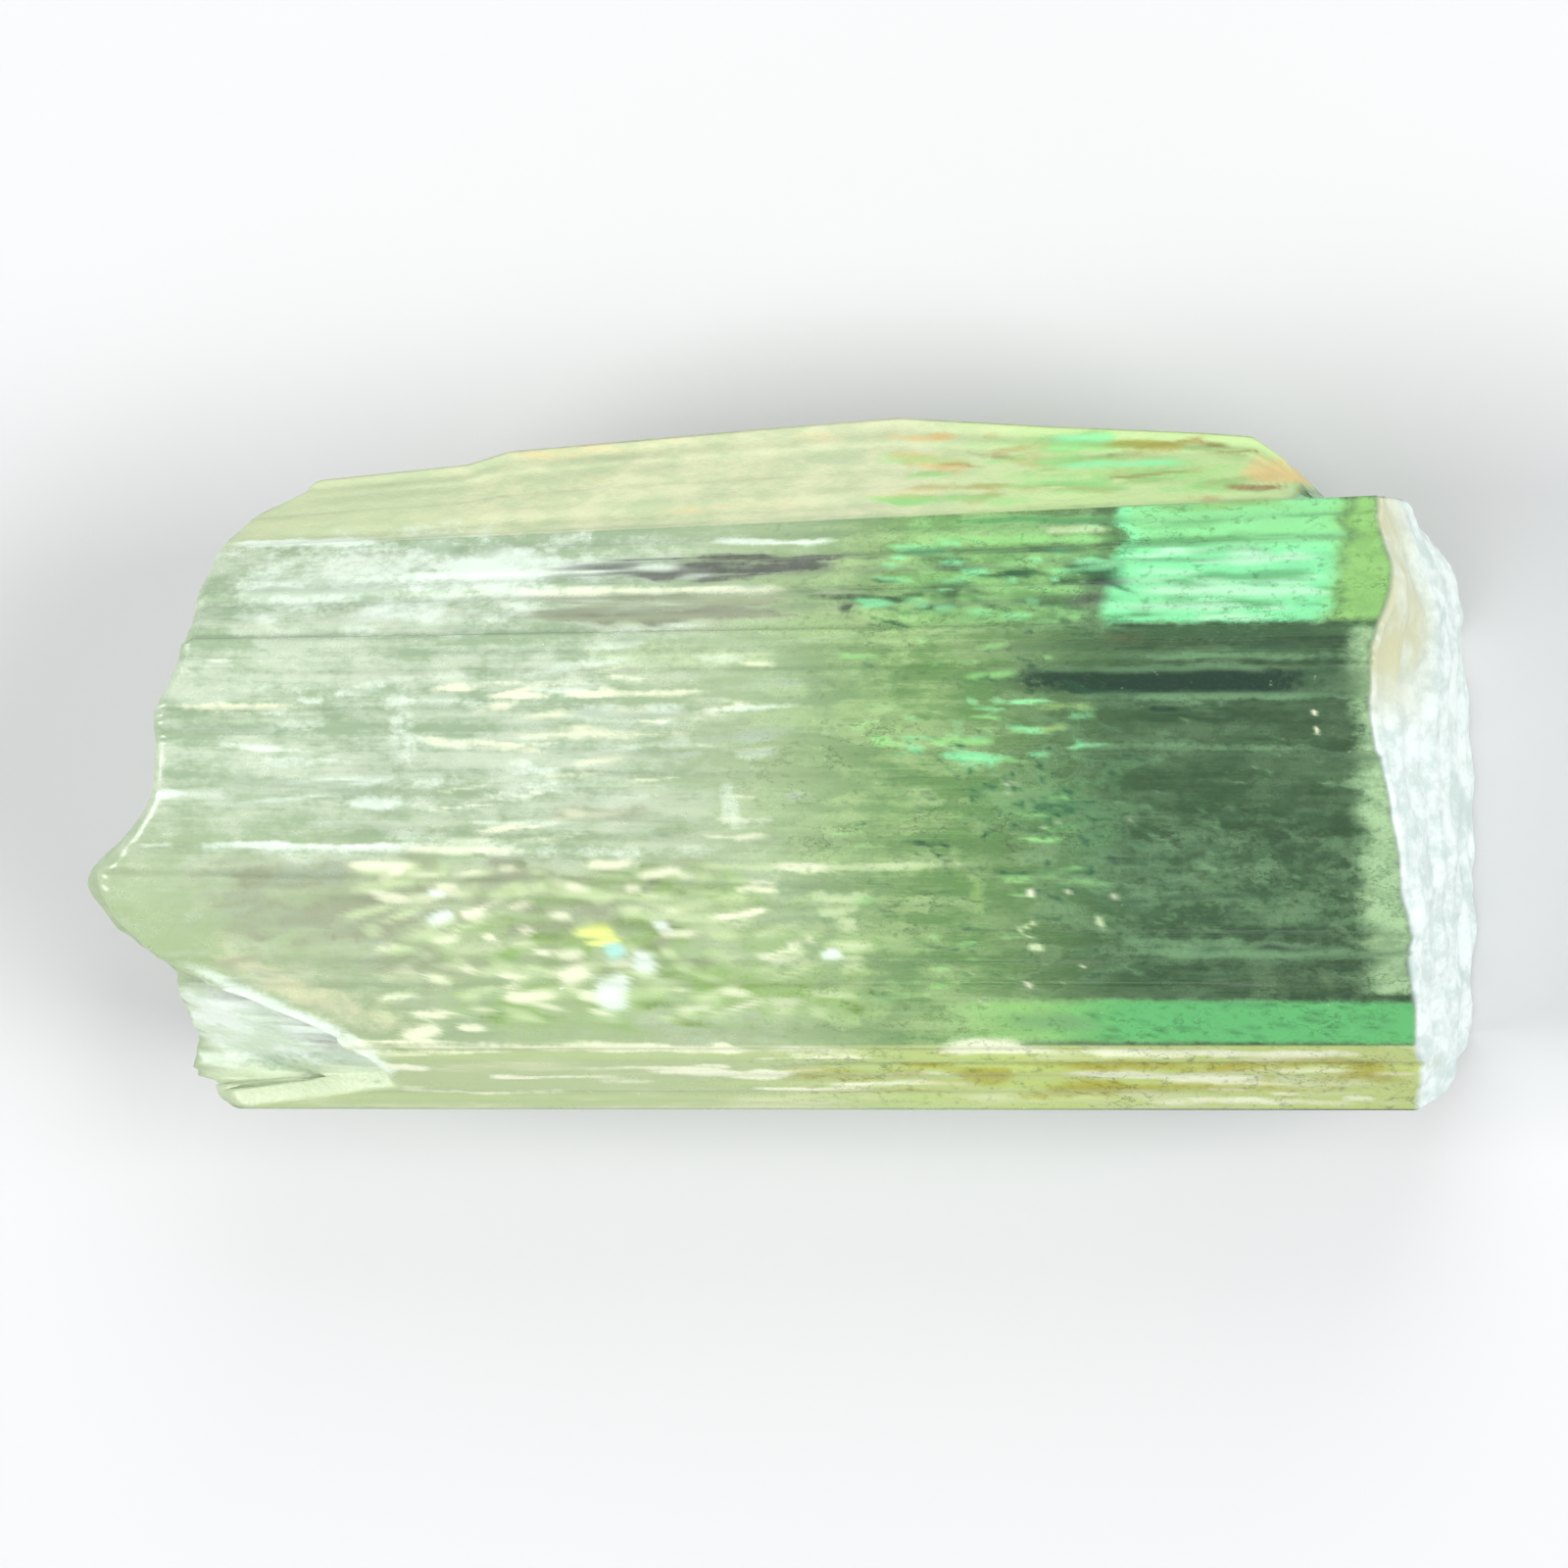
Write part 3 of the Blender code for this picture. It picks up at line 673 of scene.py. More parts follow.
def part_masks(walls, grid, from_pale, from_dark, ends):
    """From 0 to 1, how far each point is part of the ledge, the bevel and the breaks."""
    on_ledge = np.isin(walls.names, LEDGE_FACES)[:, None]
    on_bevel = np.isin(walls.names, BEVEL_FACES)[:, None]
    on_walls = {
        "ledge": on_ledge * smoothstep(*LEDGE_LOOK, curve(LEDGE, grid[..., 0])),
        "bevel": on_bevel * np.ones_like(from_pale),
        "worn": smoothstep(*WORN_LOOK, from_pale),
        "frost": smoothstep(*FROST_LOOK, from_dark),
    }
    none = np.zeros(len(ends))
    on_ends = {"ledge": none, "bevel": none, "worn": 1.0 * (ends == 0), "frost": 1.0 * (ends == -1)}
    return {name: np.concatenate([on_walls[name].T.ravel(), on_ends[name]]) for name in on_walls}


def chip_share(y, z):
    """1 where the chip has cut into the pale end, 0 elsewhere."""
    return smoothstep(*CHIP_LOOK, chip(y - FRONT_Y, z) - worn_break(y, z))


def centred(points):
    """The points, moved so that the foot of their bounding box is centred."""
    low, high = points.min(axis=0), points.max(axis=0)
    return points - [(low[0] + high[0]) / 2, (low[1] + high[1]) / 2, low[2]]


def build_crystal():
    walls = Walls()
    grid, from_pale, from_dark = wall_grid(walls)
    round_count, ring_count = grid.shape[:2]
    index = np.arange(ring_count * round_count).reshape(ring_count, round_count)
    cap_points, cap_faces, ends = end_caps(grid, index)
    points = np.vstack([grid.transpose(1, 0, 2).reshape(-1, 3), cap_points])
    masks = part_masks(walls, grid, from_pale, from_dark, ends)
    masks["chip"] = masks["worn"] * chip_share(points[:, 1], points[:, 2])
    points = centred(points)
    colours, masks["marked"] = paint_top(points, masks["ledge"], masks["frost"])
    crystal = mesh_object("crystal", points, wall_faces(index) + cap_faces, masks)
    layer = crystal.data.attributes.new("marks", "FLOAT_COLOR", "POINT")
    layer.data.foreach_set("color", np.column_stack([colours, np.ones(len(colours))]).ravel())
    return crystal


def mesh_object(name, points, faces, attributes=None):
    """An object from points in millimetres, with a number for each point by name."""
    mesh = bpy.data.meshes.new(name)
    mesh.from_pydata((np.asarray(points) * MM).tolist(), [], faces)
    for key, values in (attributes or {}).items():
        layer = mesh.attributes.new(key, "FLOAT", "POINT")
        layer.data.foreach_set("value", np.asarray(values, dtype=np.float32))
    mesh.shade_smooth()
    return linked(name, mesh)


def linked(name, data):
    """A new object in the scene."""
    obj = bpy.data.objects.new(name, data)
    bpy.context.scene.collection.objects.link(obj)
    return obj


# ---------------- marks

def in_span(value, span, soft):
    """1 within a span, with soft ends."""
    rise = smoothstep(span[0] - soft, span[0] + soft, value)
    return rise * (1.0 - smoothstep(span[1] - soft, span[1] + soft, value))


def in_mark(place, centre_x, centre_y, x_radius, y_radius, turn, soft):
    """1 within a ragged ellipse, and 0 outside it."""
    x, y, ragged_x, ragged_y = place
    cos, sin = math.cos(math.radians(turn)), math.sin(math.radians(turn))
    right, up = x - centre_x, y - centre_y
    along = (right * cos + up * sin) / x_radius + MARK_RAGGEDNESS * ragged_x
    away = np.hypot(along**2, (up * cos - right * sin) / y_radius + MARK_RAGGEDNESS * ragged_y)
    return 1.0 - smoothstep(1.0 - soft, 1.0 + MARK_SPREAD * soft, away)


def marks():
    """Every mark in the order it is laid: colour, share, and the shape of in_mark."""
    for *mark, turn in VEILS:
        yield (*mark, turn, VEIL_SOFTNESS)
    rng = np.random.default_rng(FLECK_SEED)
    for name, count, *spans in FLECKS:
        for share, *shape in rng.uniform(*np.array(spans).T, (count, len(spans))):
            yield (name, share, *shape, LINE_SOFTNESS)
    for name, share, (start, end), y in LINES:
        yield (name, share, (start + end) / 2, y, (end - start) / 2, LINE_RADIUS, 0, LINE_SOFTNESS)
    for name, *shape in FLASHES:
        yield (name, FLASH_SHARE, *shape, FLASH_SOFTNESS)


def paint_top(points, ledge, frost):
    """Colour and share, at each point, of the zones and marks on the upper faces."""
    colour, cover = np.zeros((len(points), 3)), np.zeros(len(points))
    x, y, z = points.T

    def lay(name, share):
        nonlocal colour, cover
        tint = np.array(display(*PALETTE[name])[:3])
        colour = colour + (tint - colour) * share[:, None]
        cover = cover + share - cover * share

    def wave(lengths, seed):
        return lattice_noise(x / lengths[0], y / lengths[1], seed)

    upper = smoothstep(*UPPER_LOOK, z)
    edge_x = x + ZONE_STRAY * wave(ZONE_WAVE, ZONE_SEED)
    for name, share, x_span, y_span, x_soft, y_soft in ZONES:
        zone = in_span(edge_x, x_span, x_soft) * in_span(y, y_span, y_soft)
        lay(name, zone * share * upper * (1.0 - ledge) * (1.0 - frost))
    first, second, third = (wave(lengths, RAGGED_SEED + i) for i, lengths in enumerate(RAGGED_WAVES))
    place = (x, y, first, second + third)
    for name, share, *shape in marks():
        lay(name, in_mark(place, *shape) * share * upper)
    return colour / np.maximum(cover, 1e-4)[:, None], cover


# ---------------- fractures

# Flakes inside the crystal: colour, centre in X and Y, depth below the face, radii,
# turn in degrees, tilt in degrees. They are cracks whose colour is a painted reflection,
# the flash of light off them, yellow and blue where it shows rainbow colours.
FLAKES = (
    ("yellow", (-3.08, -3.40), 0.16, (0.52, 0.16), 8, 6),
    ("yellow", (-2.80, -3.62), 0.20, (0.42, 0.13), 14, 8),
    ("blue", (-2.66, -3.90), 0.22, (0.34, 0.30), 0, 8),
    ("white", (-2.02, -4.13), 0.20, (0.28, 0.50), -14, 8),
    ("white", (-2.90, -4.80), 0.22, (0.46, 0.50), 0, 5),
    ("white", (-1.57, -3.36), 0.20, (0.26, 0.20), 0, 10),
    ("white", (-6.50, -3.20), 0.18, (0.42, 0.20), 20, 8),
    ("white", (-5.78, -3.03), 0.20, (0.38, 0.14), 10, 6),
    ("white", (-7.75, -2.08), 0.18, (0.70, 0.18), 0, 5),
    ("white", (-7.53, -2.80), 0.20, (0.40, 0.14), 0, 6),
    ("white", (-6.69, -2.63), 0.18, (0.22, 0.15), 0, 8),
    ("white", (1.95, -3.97), 0.22, (0.32, 0.28), 0, 6),
    ("white", (-3.70, -4.40), 0.22, (0.50, 0.24), 20, 6),
    ("white", (-0.05, -3.13), 0.20, (0.62, 0.11), 8, 5),
)
FLAKE_EDGE = 22  # points round a flake
FLAKE_THICKNESS = 0.012
FLAKE_RAGGEDNESS = (-0.28, 0.12)  # of its radii
FLAKE_DOME = 0.25  # of its shorter radius


def flake(centre, radii, turn, tilt, rng):
    """Points and faces of a thin, ragged, slightly domed flake."""
    angles = np.linspace(0.0, math.tau, FLAKE_EDGE, endpoint=False)
    ragged = 1.0 + rng.uniform(*FLAKE_RAGGEDNESS, FLAKE_EDGE)
    rows = [(0.0, 0.0)]
    for share in (0.5, 1.0):
        for angle, reach in zip(angles, ragged):
            rows.append((math.cos(angle) * radii[0] * share * reach,
                         math.sin(angle) * radii[1] * share * reach))
    flat = np.array(rows)
    dome = -FLAKE_DOME * ((flat / np.array(radii)) ** 2).sum(axis=1) * min(radii)
    lifts = [dome + side * FLAKE_THICKNESS for side in (0.5, -0.5)]
    points = np.vstack([np.column_stack([flat, lift]) for lift in lifts])
    lean = Matrix.Rotation(math.radians(tilt), 3, "Y")
    turned = Matrix.Rotation(math.radians(turn), 3, "Z") @ lean
    return points @ np.array(turned).T + np.array(centre), flake_faces(len(flat))


def flake_faces(half):
    """Faces between the points of a flake's upper side and the half after them, which
    are those of its lower side."""
    faces = []
    for i in range(FLAKE_EDGE):
        inner_i, inner_j = 1 + i, 1 + (i + 1) % FLAKE_EDGE
        outer_i, outer_j = inner_i + FLAKE_EDGE, inner_j + FLAKE_EDGE
        faces.append((0, inner_i, inner_j))
        faces.append((inner_i, outer_i, outer_j, inner_j))
        faces.append((half, half + inner_j, half + inner_i))
        faces.append((half + inner_i, half + inner_j, half + outer_j, half + outer_i))
        faces.append((outer_i, half + outer_i, half + outer_j, outer_j))
    return faces


def surface_height(tree, x, y):
    """Height of the crystal's upper face over a place."""
    hit = tree.ray_cast(Vector((x * MM, y * MM, 1.0)), Vector((0.0, 0.0, -1.0)))
    return hit[0].z / MM


def build_flakes(colour, tree):
    """All flakes of one colour as one object."""
    rng = np.random.default_rng(FLAKE_SEED)
    points, faces = [], []
    for tint, (x, y), depth, radii, turn, tilt in FLAKES:
        if tint != colour:
            continue
        z = surface_height(tree, x, y) - depth
        made, sides = flake((x, y, z), radii, turn, tilt, rng)
        faces += [tuple(i + len(points) for i in side) for side in sides]
        points += made.tolist()
    return mesh_object(f"fractures_{colour}", points, faces)


# ---------------- materials

def display(red, green, blue):
    """A colour as the screen shows it (sRGB, from 0 to 255), as linear light."""
    channels = []
    for value in (red, green, blue):
        value = value / 255.0
        channels.append(value / 12.92 if value <= 0.04045 else ((value + 0.055) / 1.055) ** 2.4)
    return (*channels, 1.0)


# Noises: waves in a millimetre on each axis, detail, roughness and seed.
CLOUD = ((0.42, 0.75, 0.75), 3.0, 0.6, 3.0)
STREAK = ((0.17, 1.7, 1.7), 5.0, 0.6, 1.0)
VEIL = ((0.9, 2.0, 0.9), 5.0, 0.65, 5.0)
GRAIN = ((4.2, 5.5, 5.5), 3.0, 0.7, 4.0)
FINE_LINES = ((0.3, 9.0, 9.0), 2.0, 0.6, 12.0)
FLAKE_CLOUD = ((6.0, 6.0, 6.0), 4.0, 0.6, 14.0)
FLOOR_CLOUD = ((0.02, 0.02, 0.02), 4.0, 0.5, 15.0)
MOTTLE_SHARES = (0.36, 0.38, 0.10, 0.16)  # of the streaks, the veil, the lines, the grain
SEED_STEP = (7.3, 3.1, 5.7)  # how far a noise moves from one seed to the next


class Paint:
    """A new material. Each method adds nodes and returns the socket of their result."""

    def __init__(self, name):
        self.material = bpy.data.materials.new(name)
        self.material.use_nodes = True
        self.tree = self.material.node_tree
        self.shader = self.tree.nodes["Principled BSDF"]
        self.output = self.tree.nodes["Material Output"]
        coordinates = self.tree.nodes.new("ShaderNodeTexCoord").outputs["Object"]
        self.at = self.vector("MULTIPLY", coordinates, (1.0 / MM, 1.0 / MM, 1.0 / MM))
        split = self.tree.nodes.new("ShaderNodeSeparateXYZ")
        self.tree.links.new(self.at, split.inputs[0])
        self.x, self.y, self.z = split.outputs

    def add_fields(self):
        """The noises that the colour, the finish and the bump share."""
        self.cloud = self.noise(*CLOUD)
        self.streak = self.noise(*STREAK)
        self.veil = self.noise(*VEIL)
        self.grain = self.noise(*GRAIN)
        self.lines = self.noise(*FINE_LINES)
        self.mottle = 0.0
        for field, share in zip((self.streak, self.veil, self.lines, self.grain), MOTTLE_SHARES):
            self.mottle = self.math("ADD", self.product(field, share), self.mottle)

    def put(self, socket, value):
        """Links a socket to a result, or gives it a plain value."""
        if isinstance(value, bpy.types.NodeSocket):
            self.tree.links.new(value, socket)
        else:
            socket.default_value = value

    def node(self, kind, values, output=0, **settings):
        """A new node's result, from the values of its sockets by number or name."""
        node = self.tree.nodes.new("ShaderNode" + kind)
        for name, setting in settings.items():
            setattr(node, name, setting)
        for socket, value in values.items():
            self.put(node.inputs[socket], value)
        return node.outputs[output]

    def vector(self, operation, a, b):
        return self.node("VectorMath", {0: a, 1: b}, operation=operation)

    def math(self, operation, a, b=0.0):
        return self.node("Math", {0: a, 1: b}, operation=operation)

    def smooth(self, value, low, high, start=0.0, end=1.0):
        """From start at low to end at high, with soft ends."""
        values = dict(enumerate((value, low, high, start, end)))
        return self.node("MapRange", values, interpolation_type="SMOOTHSTEP")

    def product(self, *factors):
        total = factors[0]
        for factor in factors[1:]:
            total = self.math("MULTIPLY", total, factor)
        return total

    def mix(self, share, a, b):
        """Between two colours."""
        return self.node("Mix", {0: share, 6: a, 7: b}, 2, data_type="RGBA")

    def blend(self, share, a, b):
        """Between two numbers."""
        return self.node("Mix", {0: share, 2: a, 3: b})

    def noise(self, per_mm, detail, roughness, seed):
        """Noise from 0 to 1. per_mm is how many waves a millimetre holds on each axis."""
        scaled = self.vector("MULTIPLY", self.at, per_mm)
        moved = self.vector("ADD", scaled, [seed * step for step in SEED_STEP])
        values = {"Vector": moved, "Scale": 1.0, "Detail": detail, "Roughness": roughness}
        return self.node("TexNoise", values)

    def attribute(self, name, output="Fac"):
        return self.node("Attribute", {}, output, attribute_name=name)


PALE_LIGHT = display(238, 250, 226)
PALE_GREY = display(184, 206, 172)
PALE_WARM = display(196, 215, 166)
GREEN_LIGHT = display(218, 252, 180)
GREEN_DEEP = display(140, 188, 117)
DARK_LIGHT = display(142, 186, 136)
DARK_DEEP = display(92, 134, 93)
CREAM = display(212, 216, 176)
CREAM_GREEN = display(188, 202, 160)
LEDGE_GREEN = display(188, 216, 148)
BEVEL_GREEN = display(174, 190, 140)
OLIVE = display(190, 204, 120)
BREAK_WHITE = display(230, 239, 237)
BREAK_GREY = display(196, 211, 207)
BEIGE = display(196, 196, 158)
CHIP_WHITE = display(234, 244, 234)
CHIP_GREEN = display(208, 226, 202)
WORN_GREEN = display(212, 230, 190)
CRUMB_GREEN = display(48, 92, 54)
HAIR_GREEN = display(52, 84, 46)
GLINT_GREEN = display(196, 222, 176)

# Ramps for Paint.smooth: the two ends of a span in X, Y, Z or a noise, and the values
# at them, which are 0 and 1 where only the ends are given.
BODY_TONE = (0.42, 0.58)  # of the mottle
WARM_FRONT = (0.0, -3.5)  # in Y
WARM_BY_GREEN = (-4.0, 1.5, 0.0, 0.8)  # in X
WARM_CLOUDS = (0.3, 0.6, 0.4, 0.9)
ZONE_BORDERS = (0.3, 0.7, -1.3, 1.3)  # of the mottle, to a shift in X
TO_GREEN, TO_DARK = (-0.6, 4.4), (4.2, 9.0)  # in X
LEDGE_TONE = (0.35, 0.65)  # of the veil
LEDGE_PALE_END = (-5.0, -9.0, 0.0, 0.7)  # in X
LEDGE_TO_GREEN = (2.5, 7.0, 0.0, 0.9)  # in X
BEVEL_TO_OLIVE = (-2.0, 7.0)  # in X
BEVEL_STREAKS = (0.5, 0.66, 0.0, 0.7)
SPECKLE_SHARE = (-2.0, 4.0, 0.05, 0.46)  # in X
CRUMBS, GLINTS = (0.52, 0.74), (0.34, 0.24)  # of the grain
HAIRS = (0.004, 0.016, 1.0, 0.0)  # of how far the veil is from its middle value
HAIR_CLOUDS = (0.46, 0.6)
BREAK_TONE = (0.35, 0.62)  # of the veil
BEIGE_BACK, BEIGE_TOP = (0.4, 2.4), (5.0, 7.5)  # in Y, in Z
BEIGE_CLOUDS = (0.35, 0.6, 0.5, 1.0)
CHIP_TONE = (0.4, 0.6)  # of the veil
CHIP_LIP = (-6.2, -6.75, 0.0, 0.85)  # in Y
CHIP_SHARE = (-7.8, -9.4, 0.2, 0.9)  # in X
MARK_GRIT = (0.80, 1.20, -0.14, 0.14)  # of the veil and the grain together
MARK_EDGE, MARK_FOOT = (0.06, 0.94), (0.0, 0.25)  # of a mark's share
WALL_ROUGHNESS = (0.3, 0.7, 0.14, 0.30)  # of the veil
FLAKE_TONE = (0.35, 0.65)
FLAKE_ROUGHNESS = (0.3, 0.7, 0.2, 0.45)

BEVEL_COVER, WORN_COVER, OPAQUE_COVER = 0.92, 0.3, 0.8  # the most of each that shows
ROUGHNESS = {"worn": 0.45, "ledge": 0.55, "frost": 0.50}
# The share of the light that passes into each part.
CLEARNESS = {"pale": 0.50, "green": 0.66, "dark": 0.80, "marked": 0.12,
             "ledge": 0.18, "frost": 0.22, "chip": 0.16}
STRIA_BUMP, CRUMB_BUMP = 0.004, 0.025
IOR = 1.63
ABSORPTION_COLOUR = (0.62, 0.90, 0.66, 1.0)
ABSORPTION_PER_METRE = 25.0


def body_colour(paint):
    """Pale, green and dark zones along the prism, with lengthwise streaks."""
    tone = paint.smooth(paint.mottle, *BODY_TONE)
    pale = paint.mix(tone, PALE_GREY, PALE_LIGHT)
    front, by_green = paint.smooth(paint.y, *WARM_FRONT), paint.smooth(paint.x, *WARM_BY_GREEN)
    warm = paint.math("MAXIMUM", front, by_green)
    warm = paint.product(warm, paint.smooth(paint.cloud, *WARM_CLOUDS))
    pale = paint.mix(warm, pale, PALE_WARM)
    green = paint.mix(tone, GREEN_DEEP, GREEN_LIGHT)
    dark = paint.mix(tone, DARK_DEEP, DARK_LIGHT)
    shifted = paint.math("ADD", paint.x, paint.smooth(paint.mottle, *ZONE_BORDERS))
    paint.to_green = paint.smooth(shifted, *TO_GREEN)
    paint.to_dark = paint.smooth(shifted, *TO_DARK)
    colour = paint.mix(paint.to_green, pale, green)
    return paint.mix(paint.to_dark, colour, dark)


def add_faces(paint, colour):
    """The cream ledge and the front bevel."""
    cream = paint.mix(paint.smooth(paint.veil, *LEDGE_TONE), CREAM_GREEN, CREAM)
    cream = paint.mix(paint.smooth(paint.x, *LEDGE_PALE_END), cream, CREAM_GREEN)
    cream = paint.mix(paint.smooth(paint.x, *LEDGE_TO_GREEN), cream, LEDGE_GREEN)
    colour = paint.mix(paint.attribute("ledge"), colour, cream)
    bevel = paint.mix(paint.smooth(paint.x, *BEVEL_TO_OLIVE), BEVEL_GREEN, OLIVE)
    bevel = paint.mix(paint.smooth(paint.streak, *BEVEL_STREAKS), bevel, CREAM)
    return paint.mix(paint.product(paint.attribute("bevel"), BEVEL_COVER), colour, bevel)


def add_breaks(paint, colour):
    """The worn pale end, the white dark end with its beige corner, and the chip."""
    white = paint.mix(paint.smooth(paint.veil, *BREAK_TONE), BREAK_GREY, BREAK_WHITE)
    beige = paint.product(
        paint.smooth(paint.y, *BEIGE_BACK), paint.smooth(paint.z, *BEIGE_TOP),
        paint.smooth(paint.cloud, *BEIGE_CLOUDS))
    white = paint.mix(beige, white, BEIGE)
    colour = paint.mix(paint.product(paint.attribute("worn"), WORN_COVER), colour, WORN_GREEN)
    colour = paint.mix(paint.attribute("frost"), colour, white)
    chipped = paint.mix(paint.smooth(paint.veil, *CHIP_TONE), CHIP_GREEN, CHIP_WHITE)
    chipped = paint.mix(paint.smooth(paint.y, *CHIP_LIP), chipped, CREAM_GREEN)
    share = paint.product(paint.attribute("chip"), paint.smooth(paint.x, *CHIP_SHARE))
    return paint.mix(share, colour, chipped)


def add_marks(paint, colour):
    """The marks on the upper faces, with a fine grit along their edges."""
    marked = paint.attribute("marked")
    fine = paint.math("ADD", paint.veil, paint.grain)
    gritty = paint.math("ADD", marked, paint.smooth(fine, *MARK_GRIT))
    edge, foot = paint.smooth(gritty, *MARK_EDGE), paint.smooth(marked, *MARK_FOOT)
    paint.marked = paint.product(edge, foot)
    return paint.mix(paint.marked, colour, paint.attribute("marks", "Color"))


def add_speckle(paint, colour):
    """Crumbs and hair cracks, thick in the green half and thin in the pale one."""
    faces = paint.math("MAXIMUM", paint.attribute("ledge"), paint.attribute("frost"))
    inside = paint.math("SUBTRACT", 1.0, faces)
    share = paint.product(paint.smooth(paint.x, *SPECKLE_SHARE), inside)
    crumbs = paint.product(paint.smooth(paint.grain, *CRUMBS), share)
    colour = paint.mix(crumbs, colour, CRUMB_GREEN)
    off = paint.math("ABSOLUTE", paint.math("SUBTRACT", paint.veil, 0.5))
    clouds = paint.smooth(paint.cloud, *HAIR_CLOUDS)
    hairs = paint.product(paint.smooth(off, *HAIRS), clouds, share)
    colour = paint.mix(hairs, colour, HAIR_GREEN)
    glints = paint.product(paint.smooth(paint.grain, *GLINTS), share, paint.to_green)
    return paint.mix(glints, colour, GLINT_GREEN)


def add_finish(paint):
    """Roughness, transmission and bump from the same masks."""
    part = {name: paint.attribute(name) for name in ("ledge", "frost", "worn", "chip")}
    rough = paint.smooth(paint.veil, *WALL_ROUGHNESS)
    for name in ("worn", "ledge", "frost"):
        rough = paint.blend(part[name], rough, ROUGHNESS[name])
    paint.put(paint.shader.inputs["Roughness"], rough)
    clear = paint.blend(paint.to_green, CLEARNESS["pale"], CLEARNESS["green"])
    clear = paint.blend(paint.to_dark, clear, CLEARNESS["dark"])
    opaque = paint.math("MAXIMUM", paint.attribute("bevel"), paint.marked)
    clear = paint.blend(paint.product(opaque, OPAQUE_COVER), clear, CLEARNESS["marked"])
    for name in ("ledge", "frost", "chip"):
        clear = paint.blend(part[name], clear, CLEARNESS[name])
    paint.put(paint.shader.inputs["Transmission Weight"], clear)
    matte = paint.math("MAXIMUM", part["frost"], part["worn"])
    matte = paint.math("MAXIMUM", part["ledge"], matte)
    striae, crumb = paint.product(paint.lines, STRIA_BUMP), paint.product(paint.grain, CRUMB_BUMP)
    height = paint.blend(matte, striae, crumb)
    bump = paint.node("Bump", {"Strength": 1.0, "Distance": MM, "Height": height})
    paint.put(paint.shader.inputs["Normal"], bump)


def tourmaline():
    paint = Paint("tourmaline")
    paint.add_fields()
    colour = body_colour(paint)
    for add in (add_faces, add_breaks, add_marks, add_speckle):
        colour = add(paint, colour)
    paint.put(paint.shader.inputs["Base Color"], colour)
    add_finish(paint)
    paint.put(paint.shader.inputs["IOR"], IOR)
    absorb = {"Color": ABSORPTION_COLOUR, "Density": ABSORPTION_PER_METRE}
    paint.put(paint.output.inputs["Volume"], paint.node("VolumeAbsorption", absorb))
    return paint.material


# Painted reflections: the flash of light off each crack, white, or yellow and blue where it shows
# rainbow colours.
FLAKE_COLOURS = {
    "white": display(240, 248, 240),
    "yellow": display(240, 248, 150),
    "blue": display(170, 232, 224),
}
FLAKE_LIGHT = display(250, 252, 246)


def flake_material(colour):
    paint = Paint(f"fracture_{colour}")
    cloud = paint.noise(*FLAKE_CLOUD)
    base = paint.mix(paint.smooth(cloud, *FLAKE_TONE), FLAKE_COLOURS[colour], FLAKE_LIGHT)
    paint.put(paint.shader.inputs["Base Color"], base)
    paint.put(paint.shader.inputs["Roughness"], paint.smooth(cloud, *FLAKE_ROUGHNESS))
    return paint.material


# ---------------- stage

FLOOR_HALF = 400.0  # half its side
FLOOR_DROP = 0.02  # how far it lies below the resting face
FLOOR_COLOURS = (display(196, 197, 198), display(203, 203, 203))
FLOOR_ROUGHNESS = 0.75
WORLD_COLOUR = (0.95, 0.97, 1.0, 1.0)
WORLD_STRENGTH = 0.45

# Soft boxes: name, place in metres, size in metres, power in watts.
LAMPS = (
    ("right", (0.55, -0.06, 0.42), 0.40, 4.9),
    ("left", (-0.55, -0.10, 0.42), 0.40, 4.5),
    ("back", (0.14, 0.55, 0.42), 0.40, 1.4),
)

# The view: the camera leans towards the dark end.
VIEW_TILT_DEG = 16.0
VIEW_DISTANCE_M = 0.186
VIEW_TARGET_M = (0.00009, -0.000343, 0.0045)
VIEW_LENS = 200.0  # focal length, in millimetres
VIEW_NEAREST_M = 0.01


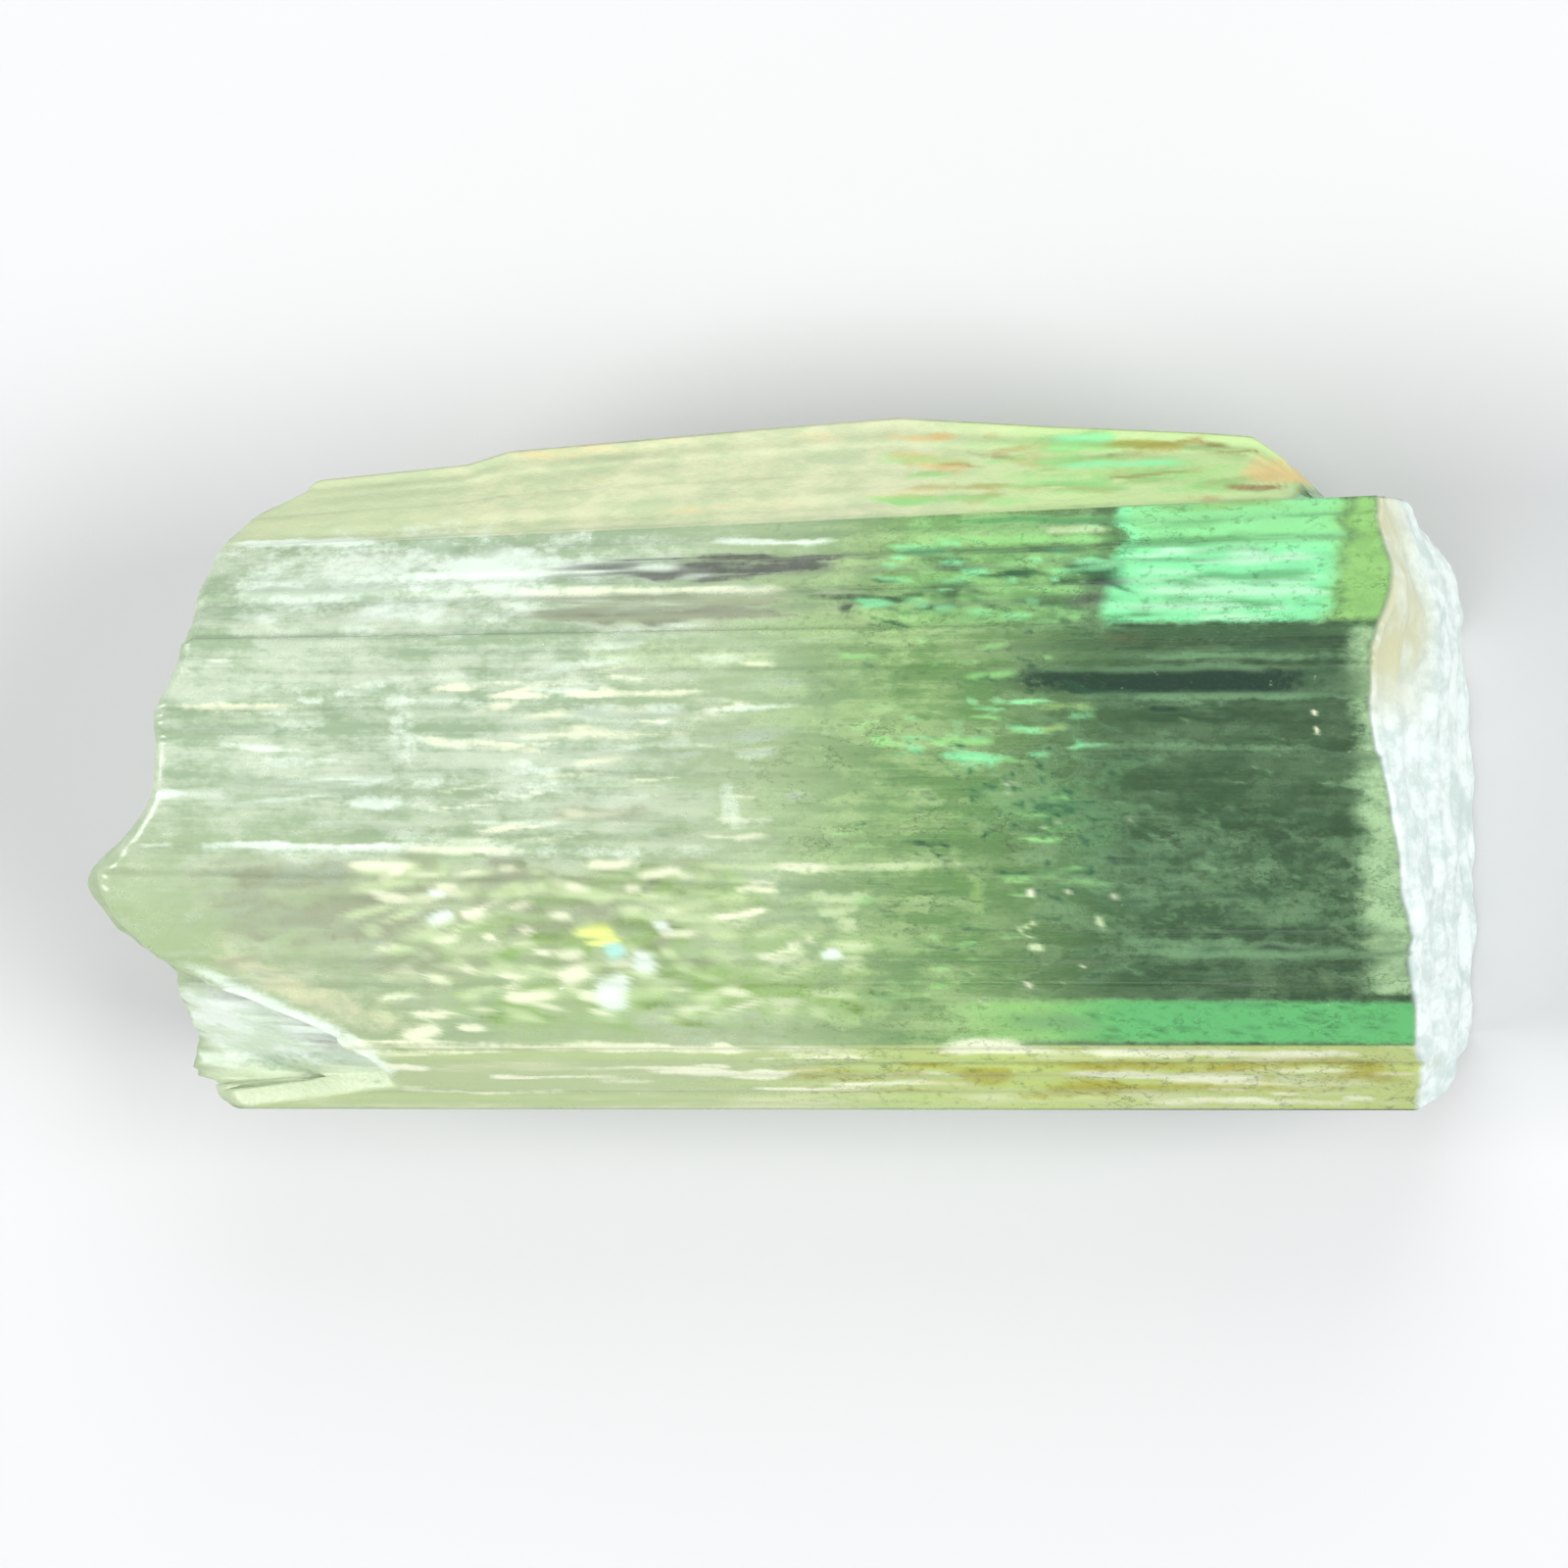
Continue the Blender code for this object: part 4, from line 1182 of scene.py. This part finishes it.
def floor_material():
    paint = Paint("floor")
    base = paint.mix(paint.noise(*FLOOR_CLOUD), *FLOOR_COLOURS)
    paint.put(paint.shader.inputs["Base Color"], base)
    paint.put(paint.shader.inputs["Roughness"], FLOOR_ROUGHNESS)
    return paint.material


def add_floor():
    turns = ((-1, -1), (1, -1), (1, 1), (-1, 1))
    points = [(x * FLOOR_HALF, y * FLOOR_HALF, 0.0) for x, y in turns]
    floor = mesh_object("floor", points, [(0, 1, 2, 3)])
    floor.location.z = -FLOOR_DROP * MM
    floor.data.materials.append(floor_material())
    return floor


def add_lamps():
    """The soft boxes, each turned towards the crystal."""
    for name, place, size, power in LAMPS:
        light = bpy.data.lights.new(name, "AREA")
        light.size = size
        light.energy = power
        lamp = linked(name, light)
        lamp.location = place
        lamp.rotation_euler = (-Vector(place)).to_track_quat("-Z", "Y").to_euler()


def add_world():
    world = bpy.data.worlds.new("studio")
    world.use_nodes = True
    background = world.node_tree.nodes["Background"]
    background.inputs["Color"].default_value = WORLD_COLOUR
    background.inputs["Strength"].default_value = WORLD_STRENGTH
    bpy.context.scene.world = world


def add_camera():
    data = bpy.data.cameras.new("camera")
    data.lens = VIEW_LENS
    data.clip_start = VIEW_NEAREST_M
    camera = linked("camera", data)
    tilt = math.radians(VIEW_TILT_DEG)
    away = Vector((math.sin(tilt), 0.0, math.cos(tilt)))
    camera.location = Vector(VIEW_TARGET_M) + away * VIEW_DISTANCE_M
    camera.rotation_euler = (0.0, tilt, 0.0)
    bpy.context.scene.camera = camera


def main():
    crystal = build_crystal()
    crystal.data.materials.append(tourmaline())
    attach(crystal, "root")
    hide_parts("tourmaline_crystal")
    tree = BVHTree.FromPolygons(
        [v.co for v in crystal.data.vertices], [p.vertices for p in crystal.data.polygons])
    for colour in FLAKE_COLOURS:
        flakes = build_flakes(colour, tree)
        flakes.data.materials.append(flake_material(colour))
        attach(flakes, "root")
    add_floor()
    add_lamps()
    add_world()
    add_camera()
    bpy.context.scene.view_settings.view_transform = "Standard"


main()
